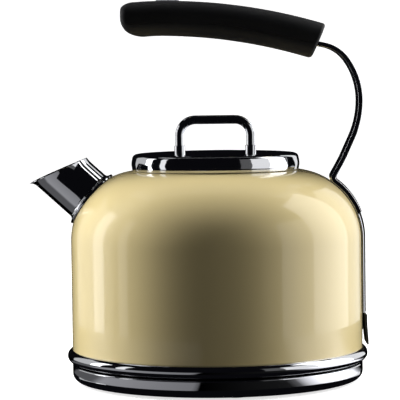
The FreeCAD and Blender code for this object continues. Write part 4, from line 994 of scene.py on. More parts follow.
class KETTLE_OT_connector(bpy.types.Operator):
    """Round connector in the base, and the loose collar that turns about it"""
    bl_idname = "kettle.connector"
    bl_label = "Connector"

    def execute(self, context):
        span = Span("connector_block")
        top, slot_floor, flange, flange_wall = span.z1, 12.0, 9.65, 1.5
        outline = [(0, slot_floor)]
        for inner, outer in ((HUB_BORE, 6.4), (9.0, 12.0)):
            outline += [(inner, slot_floor), (inner, top, 0.3), (outer, top, 0.3),
                        (outer, slot_floor)]
        outline += [(14.6, slot_floor), (14.6, top, 0.4), (HUB_R, top, 0.8), (HUB_R, flange, 0.2),
                    (span.r, flange, 0.3), (span.r, flange - flange_wall),
                    (HUB_R, flange - flange_wall), (HUB_R, span.z0), (0, span.z0)]
        hub = turned("connector_hub", rounded(outline, step=20), 96)
        dress(hub, "control_plastic", "connector_block")
        ring = Span("glide_collar")
        inner = ring.r - 2.4
        outline = rounded([(inner, ring.z0, 0.3), (ring.r, ring.z0, 0.3), (ring.r, ring.z1, 1.0),
                           (inner, ring.z1, 0.5)], step=15)
        collar = turned("turning_collar", outline, 96)
        dress(collar, "black_plastic", "glide_collar")
        return {"FINISHED"}


class KETTLE_OT_body(bpy.types.Operator):
    """Enamelled body, bare steel inside"""
    bl_idname = "kettle.body"
    bl_label = "Body"

    def execute(self, context):
        sizes = sizes_of(context)
        form = BodyForm(sizes)
        axis = SpoutAxis(sizes)
        neck = sizes.hole
        low = SHELL.z0
        side = [(form.r, z) for z in (low, low + 1.5)]
        side += between(side[-1], (form.r, form.centre_z), 11)
        outer = side + arc((form.centre_r, form.centre_z), form.round, 0, 90, 3.0)
        outer.append((neck, form.centre_z + form.round))
        wall = sizes.wall
        inner = [(neck, form.centre_z + form.round - wall)]
        inner += arc((form.centre_r, form.centre_z), form.round - wall, 90, 0, 6.0)
        inner += between((form.r - wall, form.centre_z), (form.r - wall, low), 6)
        inner.append((form.r - wall, low))
        body = turned("enamel_body", outer + inner, 192, 40)
        pour = bar("pour_hole", axis.point(0, 0, -15), axis.point(0, 0, 15), 15.5, 64)
        window = slab("window", (form.r - 12, -5.1, 32.8), (form.r + 5, 5.1, 44.7))
        cut(body, pour, window)
        for slot in ("enamel_cream", "stainless"):
            body.data.materials.append(finish(slot))
        skin = 0.3 * wall
        for face in body.data.polygons:
            middle = face.center / MM
            if form.above(middle) < -skin and middle.z < SHELL.z1 - skin:
                face.material_index = 1
        dress(body, "enamel_cream", "body_shell")
        return {"FINISHED"}


class KETTLE_OT_rings(bpy.types.Operator):
    """Rolled bead under the body, and the ring that lines the filling hole"""
    bl_idname = "kettle.rings"
    bl_label = "Bead and Neck Ring"

    def execute(self, context):
        sizes = sizes_of(context)
        r = sizes.bead
        centre = (BEAD.r - r, BEAD.z0 + r)
        inner = SHELL.r + 0.05
        close = math.degrees(math.acos((inner - centre[0]) / r))
        outline = [(92.0, BEAD.z0)] + arc(centre, r, -90, close, 6.0)
        outline += [(inner, BEAD.z0 + 0.9), (92.0, BEAD.z0 + 0.9)]
        bead = turned("rolled_bead", outline, 192)
        dress(bead, "chrome", "bead_ring")
        span = Span("neck_ring")
        hole = span.r - 4.3
        outline = rounded([(hole, span.z0, 0.2), (hole + 0.9, span.z0, 0.2), (hole + 0.9, span.z1 - 0.8),
                           (span.r, span.z1 - 0.8, 0.2), (span.r, span.z1, 0.3),
                           (hole, span.z1, 0.6)], step=15)
        dress(turned("neck_lining", outline), "stainless", "neck_ring")
        return {"FINISHED"}


class KETTLE_OT_underside(bpy.types.Operator):
    """Cover under the kettle with its standing ring and connector recess"""
    bl_idname = "kettle.underside"
    bl_label = "Underside Cover"

    def execute(self, context):
        span = Span("bottom_cover")
        low = BEAD.z0 + 0.1
        top = low + 1.7
        recess, wall = 20.1, 1.5
        outline = [(recess, low, 0.6)] + groove(34.0, 37.0, low, 0.5, 0.6, 0.3)
        outline += groove(56.0, 59.0, low, 0.5, 0.6, 0.3)
        outline += [(82.0, low, 0.3), (82.0, span.z0, 0.6), (88.0, span.z0, 0.6),
                    (88.0, low, 0.3), (91.7, low, 0.3), (91.7, 15.15), (96.8, 15.15), (96.8, 16.55),
                    (90.0, top), (recess + wall, top), (recess + wall, span.z1),
                    (recess, span.z1, 0.4)]
        cover = turned("underside_cover", rounded(outline, step=30))
        cut(cover, *screw_rooms(low, top, COVER_SCREWS))
        dress(cover, "black_plastic", "bottom_cover")
        return {"FINISHED"}


class KETTLE_OT_spout(bpy.types.Operator):
    """Spout with a slanted mouth, a flared pouring lip and a flange on the shoulder"""
    bl_idname = "kettle.spout"
    bl_label = "Spout"
    TURNS = 120

    def execute(self, context):
        sizes = sizes_of(context)
        axis = SpoutAxis(sizes)
        mouth = sizes.mouth_slope
        normal = Vector((-math.sin(mouth), 0, math.cos(mouth)))
        slant = normal.dot(axis.up) / normal.dot(axis.along)
        r = sizes.spout
        bore = r - sizes.spout_wall
        edge = r + sizes.spout_flange
        pad, top = 0.6, 1.7
        loops = []
        for step in range(self.TURNS):
            turn = math.tau * step / self.TURNS

            def on_body(radius, offset):
                return axis.point(radius, turn, axis.foot(radius, turn, offset))

            pouring = max(0.0, -math.cos(turn)) ** 3
            flare = 0.6 + sizes.spout_lip * pouring
            end = sizes.spout_length - r * slant * math.cos(turn)
            fillet = 1.5
            start = axis.foot(r, turn, top + fillet)
            loop = [on_body(radius, offset) for radius, offset in (
                (bore, pad), ((bore + edge) / 2, pad), (edge, pad), (edge, top - 0.35),
                (edge - 0.12, top - 0.1), (edge - 0.4, top), (r + fillet, top))]
            loop += [on_body(r + fillet * (1 - math.sin(bend)), top + fillet * (1 - math.cos(bend)))
                     for bend in (math.radians(part) for part in (22, 45, 68))]
            reach = 4.5
            loop += [axis.point(r, turn, start + (end - reach - start) * part / 6) for part in range(7)]
            loop += [axis.point(r + flare * part ** 2, turn, end - reach * (1 - part))
                     for part in (0.25, 0.5, 0.7, 0.85, 0.95)]
            lip = r + flare
            loop += [axis.point(lip, turn, end - 0.1), axis.point(lip - 0.15, turn, end + 0.12),
                     axis.point(lip - 0.5, turn, end + 0.2), axis.point(lip - 0.9, turn, end + 0.05)]
            loop += [axis.point(bore + flare * part ** 2, turn, end - reach * (1 - part))
                     for part in (0.9, 0.7, 0.5, 0.25, 0.0)]
            below = axis.foot(bore, turn, pad)
            loop += [axis.point(bore, turn, end - reach + (below - end + reach) * part / 5)
                     for part in range(1, 5)]
            loops.append(loop)
        spout = skinned("pouring_spout", loops)
        dress(spout, "chrome", "spout")
        return {"FINISHED"}


class KETTLE_OT_filter(bpy.types.Operator):
    """Removable filter: moulded sleeve and woven wire gauze"""
    bl_idname = "kettle.filter"
    bl_label = "Filter"

    def execute(self, context):
        sizes = sizes_of(context)
        axis = SpoutAxis(sizes).matrix()
        r, low = 14.9, -8.6
        inner = r - 1.1
        outline = rounded([(inner, low, 0.2), (r + 3.0, low, 0.4), (r + 3.0, low + 1.4, 0.4),
                           (r, low + 1.4, 0.3), (r, low + 9.5, 0.4), (inner, low + 9.5, 0.3),
                           (inner, low + 2.2), (inner - 1.5, low + 2.2, 0.2),
                           (inner - 1.5, low + 1.4, 0.2), (inner, low + 1.4)], step=20)
        parts = [turned("sleeve", outline, 96)]
        for index, (x, y) in enumerate(((r - 0.6, 0.8), (0.8, r - 0.6))):
            spoke = slab(f"spoke_{index}", (-x, -y, low + 0.1), (x, y, low + 1.3))
            parts.append(bevelled(spoke, 0.25, 2))
        parts.append(turned("pull_stem", rounded([(0, low - 3.4), (1.1, low - 3.4), (1.1, low + 0.4),
                                                  (0, low + 0.4)]), 32))
        knob = rounded([(0, low - 5.0), (1.5, low - 5.0, 0.7), (1.5, low - 3.2, 0.5), (0, low - 3.2)],
                       step=15)
        parts.append(turned("pull_knob", knob, 32))
        holder = placed(joined("filter_holder", *parts), axis)
        dress(holder, "black_plastic", "filter_frame")
        wires = []
        reach = inner - 0.1
        half = math.floor(reach / sizes.pitch)
        level = low + 2.4
        for across in (0, 1):
            for row in range(-half, half + 1):
                side = row * sizes.pitch
                run = math.sqrt(reach * reach - side * side)
                count = max(2, round(4 * run / sizes.pitch))
                route = []
                for part in range(count + 1):
                    along = -run + 2 * run * part / count
                    wave = math.cos(math.pi * (along / sizes.pitch + row + across))
                    lift = level + 0.5 * sizes.wire * wave * (1 if across else -1)
                    spot = (side, along, lift) if across else (along, side, lift)
                    route.append(spot)
                wires.append(swept(f"wire_{across}_{row}", route, sizes.wire / 2, 6))
        gauze = placed(joined("filter_gauze", *wires), axis)
        dress(gauze, "stainless", "filter_mesh")
        return {"FINISHED"}


class KETTLE_OT_strap(bpy.types.Operator):
    """Bent steel strap from the shoulder into the grip"""
    bl_idname = "kettle.strap"
    bl_label = "Strap"

    def execute(self, context):
        sizes, handle = sizes_of(context), handle_of(context)
        line = StrapLine(sizes, handle)
        form = line.form
        corner = 2.8
        low = form.rise(STRAP.z0, handle.pad)
        high = form.centre_z + form.round * handle.foot_angle - corner * form.round / line.reach
        middle = handle.pad + handle.strap / 2
        stations = []
        count = 16
        for part in range(count + 1):
            rise = low + (high - low) * part / count
            turn = (rise - form.centre_z) / form.round
            stations.append((Vector(form.at(rise, middle)), math.degrees(turn) + 90, 1.0))
        lean = math.degrees(handle.lean)
        after = Vector((math.cos(handle.lean), math.sin(handle.lean)))
        bend_end = line.start + after * corner
        bend_start, first_heading, _ = stations[-1]
        for part in range(1, 9):
            t = part / 9
            spot = bend_start.lerp(line.start, t).lerp(line.start.lerp(bend_end, t), t)
            ahead = (line.start - bend_start).lerp(bend_end - line.start, t)
            stations.append((spot, math.degrees(math.atan2(ahead.y, ahead.x)), 1.0))
        fade = 16.0
        for spot, heading in line.arch + line.tang[1:]:
            gone = (spot - line.start).length
            if heading == lean and gone < corner:
                continue
            stations.append((spot, heading, max(0.0, 1 - gone / fade) if heading == lean else 0.0))
        half = STRAP.y1
        section = box_section(half, -handle.strap / 2, handle.strap / 2, handle.strap_edge)
        loops = []
        for spot, heading, hug in stations:
            turn = math.radians(heading + 90)
            loop = []
            for y, rise in section:
                x = spot.x + math.cos(turn) * rise
                sag = x - math.sqrt(x * x - y * y) if hug else 0.0
                loop.append((x - sag * hug * hug * (3 - 2 * hug), y, spot.y + math.sin(turn) * rise))
            loops.append(loop)
        strap = bevelled(skinned("strap", loops, False, True), 0.4, 2)
        dress(strap, "chrome", "handle_strap")
        return {"FINISHED"}


class KETTLE_OT_spine(bpy.types.Operator):
    """Crowned chrome spine down the back of the body"""
    bl_idname = "kettle.spine"
    bl_label = "Spine"

    def execute(self, context):
        sizes, handle = sizes_of(context), handle_of(context)
        form = BodyForm(sizes)
        span = Span("handle_spine")
        section = box_section(span.y1, handle.pad, handle.pad + handle.spine, 0.5, crown=0.9, across=14)
        spine = bevelled(form.strip("back_spine", section, span.z0, span.z1), 0.5, 3)
        dress(spine, "chrome", "handle_spine")
        return {"FINISHED"}


class KETTLE_OT_switch(bpy.types.Operator):
    """Switch panel with its window, and the ridged switch paddle"""
    bl_idname = "kettle.switch"
    bl_label = "Switch"
    PIVOT = (92, 40)

    def execute(self, context):
        form = BodyForm(sizes_of(context))
        self.panel(form)
        self.paddle(form.r + 0.5, handle_of(context))
        return {"FINISHED"}

    def pin(self, name, half_long, radius):
        """Round bar along the lever's pivot."""
        x, z = self.PIVOT
        return bar(name, (x, -half_long, z), (x, half_long, z), radius)

    def panel(self, form):
        """Curved panel with the window that the lever passes through."""
        span = Span("switch_bezel")
        face = form.r
        low, high = 33.5, 44.2
        outer, inner = 4.9, 3.6
        section = box_section(span.y1, 0.0, 0.5, 0.2)
        panel = form.strip("panel", section, span.z0, span.z1)
        sleeve = slab("window_sleeve", (face - 3.4, -outer, low - 0.5), (face + 0.2, outer, high + 0.3))
        ears = slab("pin_ears", (span.x0, -outer, 36.0), (face - 1.9, outer, 44.0))
        room = slab("window_room", (span.x0 - 6, -inner, low), (face + 6, inner, high))
        above = slab("lever_room", (span.x0 - 6, -inner, 28.0), (face - 3.4, inner, 50.0))
        panel = cut(joined("switch_panel", panel, sleeve, ears), room, above,
                    self.pin("pin_bore", 20, 1.22))
        dress(panel, "black_plastic", "switch_bezel")

    def paddle(self, plane, handle):
        """Ridged paddle outside the panel, with its hub and the arm inside."""
        lever = Span("switch_lever")
        shape = rounded([(plane + 0.4, lever.z1, 0.3), (plane + 2.0, lever.z1, 0.8),
                         (plane + 2.1, 38.0, 40.0), (plane + 3.0, 24.2, 0.7), (plane + 1.7, 24.2, 0.4),
                         (plane + 0.4, 37.0, 6.0)], step=12)
        paddle = bevelled(extruded("paddle", shape, lever.y1), 0.45, 3)
        ridges = []
        for index in range(5):
            z = 26.6 + 1.7 * index
            x = plane + 2.1 + 0.9 * (38.0 - z) / 13.8
            ridges.append(bar(f"ridge_{index}", (x - 0.25, -10.5, z), (x - 0.25, 10.5, z),
                              0.25 + handle.paddle_ridge, 16))
        half = 3.3
        hub = self.pin("hub", half, 3.0)
        neck = slab("neck", (self.PIVOT[0], -half, 37.5), (plane + 1.0, half, 42.0))
        tip_x, tip_r = 77.5, 1.2
        arm_low, arm_top = 26.2, 28.6
        shape = rounded([(89.6, 40.0), (93.0, 39.0), (90.6, arm_low, 2.0), (tip_x, arm_low),
                         (tip_x, arm_top), (87.6, arm_top, 1.5)], step=12)
        arm = extruded("arm", shape, half)
        tip_z = arm_low + tip_r
        tip = bar("tip", (tip_x, -half, tip_z), (tip_x, half, tip_z), tip_r)
        inner = cut(joined("lever_inner", hub, neck, arm, tip), self.pin("lever_bore", 20, 1.25))
        dress(joined("switch_paddle", paddle, inner, *ridges), "black_plastic", "switch_lever")


class GripForm:
    """The grip: a rounded section swept on an arc between a nose and a leaning end."""

    def __init__(self, sizes, handle):
        self.handle = handle
        self.line = StrapLine(sizes, handle)
        leave = self.line.exit
        self.centre = leave + Vector((-handle.crest_back, handle.crest_rise - handle.grip_arc))
        self.half = GRIP.y1
        self.end = leave - Vector((handle.end_back, 0))
        self.middle_arc = handle.grip_arc - handle.grip_height / 2
        self.nose = self.on_middle(GRIP.x0)

    def on_middle(self, x):
        """Point half way down the grip at a distance from the kettle's axis."""
        rise = math.sqrt(self.middle_arc ** 2 - (x - self.centre.x) ** 2)
        return Vector((x, self.centre.y + rise))

    def station(self, share_along):
        """Point and upward direction of a cross plane between the nose (0) and the end (1)."""
        lean = math.radians(90) + (self.handle.end_lean - math.radians(90)) * share_along
        up = Vector((math.cos(lean), math.sin(lean)))
        end_up = Vector((math.cos(self.handle.end_lean), math.sin(self.handle.end_lean)))
        end_middle = self.on_plane(self.end, end_up, self.middle_arc)
        return self.on_middle(self.nose.x + (end_middle.x - self.nose.x) * share_along), up

    def on_plane(self, spot, up, radius):
        """Where a line through spot meets a circle about the grip's centre."""
        out = spot - self.centre
        along = out.dot(up)
        return spot + up * (-along + math.sqrt(along ** 2 - out.length_squared + radius ** 2))

    def split_depth(self, spot, up):
        """Depth of the joint between the shells below the grip's top."""
        for right, left in zip(self.line.split, self.line.split[1:]):
            side = Vector((up.y, -up.x))
            first, second = (right - spot).dot(side), (left - spot).dot(side)
            if first >= 0 >= second and first != second:
                met = right.lerp(left, first / (first - second))
                return self.handle.grip_arc - (met - self.centre).length
        raise ValueError("the joint doesn't cross the grip here")

    def half_loop(self, share_along, inset, upper):
        """Closed section of one shell."""
        handle = self.handle
        spot, up = self.station(share_along)
        depth = self.split_depth(spot, up)
        half = self.half - inset
        top, low = inset, handle.grip_height - inset - handle.grip_taper * (1 - share_along)
        fade = max(0.0, 1.0 - (spot.x - self.nose.x) / handle.nose_reach)
        r = max(1.0, handle.grip_corner - inset)
        cut_depth = min(max(depth, top + r * 0.3), low - r * 0.3)

        def side(deep):
            over = max(top + r - deep, deep - low + r, 0.0)
            return half - r + math.sqrt(max(0.0, r * r - over * over))

        edge = handle.seam
        clear = handle.strap / 2 + 0.15
        slot_half = STRAP.y1 + 0.2
        sign = -1 if upper else 1
        start = cut_depth + sign * edge
        bend = top + r if upper else low - r
        if (start - bend) * sign > 0:
            bend = start
        right = [(side(cut_depth) - edge, cut_depth), (side(start), start)]
        for part in range(1, 5):
            deep = start + (bend - start) * part / 4
            right.append((side(deep), deep))
        first = math.asin(min(1.0, abs(bend - (top + r if upper else low - r)) / r))
        for part in range(1, 13):
            turn = first + (math.pi / 2 - first) * part / 12
            deep = top + r - r * math.sin(turn) if upper else low - r + r * math.sin(turn)
            right.append((half - r + r * math.cos(turn), deep))
        outer = right + [(0.0, right[-1][1])] + [(-y, deep) for y, deep in reversed(right)]
        slot = [(-slot_half, cut_depth), (-slot_half, depth + sign * clear),
                (slot_half, depth + sign * clear), (slot_half, cut_depth)]
        inner_half = min(slot_half, half - 3.0)
        slot = [(math.copysign(min(abs(y), inner_half), y), deep) for y, deep in slot]
        points = []
        for y, deep in outer + slot:
            flat = self.on_plane(spot, up, handle.grip_arc - deep)
            points.append((flat.x + fade * self.set_back(deep), y, flat.y))
        return points

    def set_back(self, deep):
        """How far the nose's rounded corners stand back at a depth below the grip's top."""
        handle = self.handle
        over = max(0.0, handle.nose_top - deep)
        under = max(0.0, deep - handle.grip_height + handle.grip_taper + handle.nose_low)
        over, under = min(over, handle.nose_top), min(under, handle.nose_low)
        return (handle.nose_top - math.sqrt(handle.nose_top ** 2 - over ** 2)
                + handle.nose_low - math.sqrt(handle.nose_low ** 2 - under ** 2))

    def shell(self, name, upper):
        """Lofted shell with a rounded nose and end."""
        handle = self.handle
        span = self.station(1.0)[0].x - self.nose.x
        marks = []
        for part in range(9):
            turn = math.radians(90) * part / 8
            marks.append((handle.nose * (1 - math.cos(turn)) / span, handle.nose * (1 - math.sin(turn))))
        tail_start = 1 - handle.tail / span
        middle_start = handle.nose / span
        for part in range(1, 24):
            marks.append((middle_start + (tail_start - middle_start) * part / 24, 0.0))
        for part in range(6):
            turn = math.radians(90) * part / 5
            marks.append((tail_start + handle.tail * math.sin(turn) / span,
                          handle.tail * (1 - math.cos(turn))))
        loops = [self.half_loop(mark, inset, upper) for mark, inset in marks]
        return skinned(name, loops, False, True)


class KETTLE_OT_grip(bpy.types.Operator):
    """Two grip shells on the strap's tang, with their screws and thumb pad"""
    bl_idname = "kettle.grip"
    bl_label = "Grip"

    def execute(self, context):
        sizes, handle = sizes_of(context), handle_of(context)
        form = GripForm(sizes, handle)
        over = form.shell("grip_over", True)
        under = form.shell("grip_under", False)
        heads = []
        rooms = []
        screw_span = Span("grip_screws")
        head_r, head_high, depth = 3.8, 2.2, 3.0
        places = (screw_span.x0 + head_r, screw_span.x1 - head_r)
        for index, x in enumerate(places):
            top = form.line.height(x) - handle.strap / 2 - depth
            rooms.append(bar(f"screw_room_{index}", (x, 0, top - 30), (x, 0, top), head_r + 0.3, 48))
            head = socket_screw(f"head_{index}", head_r, head_high, head_r / 2)
            heads.append(placed(head, Matrix.Translation((x, 0, top - head_high))))
        cut(under, *rooms)
        dress(over, "soft_black", "grip_upper")
        dress(under, "soft_black", "grip_lower")
        dress(joined("grip_screw_set", *heads), "zinc_steel", "grip_screws")
        self.pad(form, handle)
        return {"FINISHED"}

    def pad(self, form, handle):
        """Ridged pad let into the top of the grip."""
        span = Span("thumb_pad")
        middle = (span.x0 + span.x1) / 2
        half = (span.x1 - span.x0) / 2
        r, rim_wide, rise, ridge_rise, ridge_pitch = 3.0, 0.6, 0.55, 0.28, 2.4
        rows = []
        steps = 44
        for row in range(steps + 1):
            x = middle - half + 2 * half * row / steps
            off = max(0.0, abs(x - middle) - (half - r))
            wide = half - r + math.sqrt(max(0.0, r * r - off * off))
            rim = min(1.0, (half - abs(x - middle)) / rim_wide)
            ridge = ridge_rise * max(0.0, math.sin(math.tau * (x - middle) / ridge_pitch))
            if abs(x - middle) >= half - 1.8:
                ridge = 0.0
            line = []
            for column in range(21):
                share_across = -1 + 2 * column / 20
                y = wide * share_across
                lip = min(1.0, wide * (1 - abs(share_across)) / rim_wide)
                fade = min(1.0, max(0.0, (half - 1.4 - abs(y)) / 0.8))
                proud = rise * math.sqrt(max(0.0, 1 - (1 - min(lip, rim)) ** 2)) + ridge * fade
                radius = handle.grip_arc + proud
                line.append((x, y, form.centre.y + math.sqrt(radius ** 2 - (x - form.centre.x) ** 2)))
            rows.append(line)
        points = [point for line in rows for point in line]
        size = len(rows[0])
        count = len(points)
        lower = [(x, y, z - 1.4) for x, y, z in points]
        faces = []
        for row in range(steps):
            for column in range(size - 1):
                a = row * size + column
                faces.append((a, a + 1, a + size + 1, a + size))
                faces.append((count + a, count + a + size, count + a + size + 1, count + a + 1))
        border = [row * size for row in range(steps + 1)]
        border += [steps * size + column for column in range(1, size)]
        border += [row * size + size - 1 for row in range(steps - 1, -1, -1)]
        border += list(range(size - 2, 0, -1))
        for here, after in zip(border, border[1:] + border[:1]):
            faces.append((here, after, count + after, count + here))
        pad = solid("thumb_rest", points + lower, faces)
        dress(pad, "pad_grey", "thumb_pad")


class KETTLE_OT_lid(bpy.types.Operator):
    """Chromed lid shell, steel stopper, silicone gasket, loop handle and its collars"""
    bl_idname = "kettle.lid"
    bl_label = "Lid"

    def execute(self, context):
        sizes = sizes_of(context)
        self.shell(sizes)
        self.stopper_and_gasket()
        self.loop_and_collars(sizes)
        return {"FINISHED"}

    def shell(self, sizes):
        """Thin shell with a bulging side, a round shoulder and a low crown."""
        low, high = CAP.z0, CAP.z1
        side = low + sizes.lid_side
        bulge, corner, wall = 0.6, 3.4, 0.9
        r = CAP.r - bulge
        edge = r - corner
        shoulder = high - sizes.lid_crown
        outline = [(r - 1.8, low), (r - 0.3, low)]
        outline += [(r + bulge * math.sin(math.pi * part / 8),
                     low + 0.25 + (side - low - 0.25) * part / 8) for part in range(9)]
        outline += [(edge + corner * math.cos(turn), side + (shoulder - side) * math.sin(turn))
                    for turn in (math.radians(part) for part in range(15, 91, 15))]
        outline += [(edge * part / 10, high - sizes.lid_crown * (part / 10) ** 2)
                    for part in range(9, -1, -1)]
        outline += [(0, high - wall), (edge, shoulder - wall), (r - wall, side),
                    (r - wall, low + 0.5), (r - 2 * wall, low + 0.5)]
        dress(turned("lid_shell", outline, 192), "chrome", "lid_cap")

    def stopper_and_gasket(self):
        """Steel cup that closes the neck, and the two-lipped seal about it."""
        plug = Span("lid_plug")
        cup = plug.r - 8.25
        seat = Span("neck_ring").z1
        wall, press = 1.2, 0.9
        floor = plug.z0 + press
        outline = [(0, floor)] + groove(12, 31.2, floor, -press, 1.2, 0.8)
        outline += [(38, floor, 0.8), (39.2, plug.z0, 0.8), (cup, plug.z0, 1.6), (cup, seat, 0.3),
                    (plug.r, seat, 0.2), (plug.r, plug.z1, 0.2), (cup - wall, plug.z1, 0.3),
                    (cup - wall, floor + wall, 0.8), (0, floor + wall)]
        dress(turned("lid_stopper", rounded(outline, step=15)), "stainless", "lid_plug")

        seal = Span("lid_seal")
        inner, lip = cup + 0.05, seal.r
        outline = [(inner, seal.z0, 0.1), (inner + 0.6, seal.z0, 0.2)]
        for rise in (1.2, 3.8):
            outline += [(lip, seal.z0 + rise, 0.25), (lip, seal.z0 + rise + 0.5, 0.2),
                        (inner + 0.6, seal.z0 + rise + 0.5, 0.2), (inner + 0.6, seal.z0 + rise + 1.3)]
        outline[-1] = (inner, seal.z1, 0.1)
        dress(turned("lid_gasket", rounded(outline, step=15)), "silicone", "lid_seal")

    def loop_and_collars(self, sizes):
        """Bent rod with a stud in each end, and the collars at its feet."""
        r = ROD.y1
        leg = ROD.x1 - r
        top = ROD.z1 - r
        bend = sizes.rod_bend
        foot = CAP.z1
        route = [(-leg, 0, foot + (top - bend - foot) * part / 6) for part in range(6)]
        route += [(x, 0, z) for x, z in arc((bend - leg, top - bend), bend, 180, 90, 7.5)]
        route += [(x, 0, top) for x in (-8, -4, 0, 4, 8)]
        route += [(x, 0, z) for x, z in arc((leg - bend, top - bend), bend, 90, 0, 7.5)]
        route += [(leg, 0, foot + (top - bend - foot) * part / 6) for part in range(5, -1, -1)]
        loop = swept("loop", route, r, 32)
        studs = [bar(f"stud_{x > 0}", (x, 0, ROD.z0), (x, 0, foot + 1), 2.0, 24) for x in (-leg, leg)]
        dress(joined("lid_loop", loop, *studs), "chrome", "lid_handle")

        ferrule = Span("lid_ferrules")
        outline = rounded([(r + 0.05, ferrule.z0 + 0.8), (r + 0.05, ferrule.z1, 0.2),
                           (3.7, ferrule.z1, 0.4), (3.7, ferrule.z0, 0.2), (2.2, ferrule.z0),
                           (2.2, ferrule.z0 + 0.8)], step=15)
        collar = turned("collar", outline, 48)
        pair = copied("lid_collars", collar, [Matrix.Translation((x, 0, 0)) for x in (-leg, leg)])
        dress(pair, "chrome", "lid_ferrules")


class KETTLE_OT_frame_parts(bpy.types.Operator):
    """Finishes for the inner parts that stay as they are in the frame"""
    bl_idname = "kettle.frame_parts"
    bl_label = "Inner Parts"

    def execute(self, context):
        slots = {entry["node"]: entry["material_slot"] for entry in frame["record"]["subparts"]}
        for name, part in frame["nodes"].items():
            if not part.hide_render:
                part.data.materials.clear()
                part.data.materials.append(finish(slots[name]))
        return {"FINISHED"}


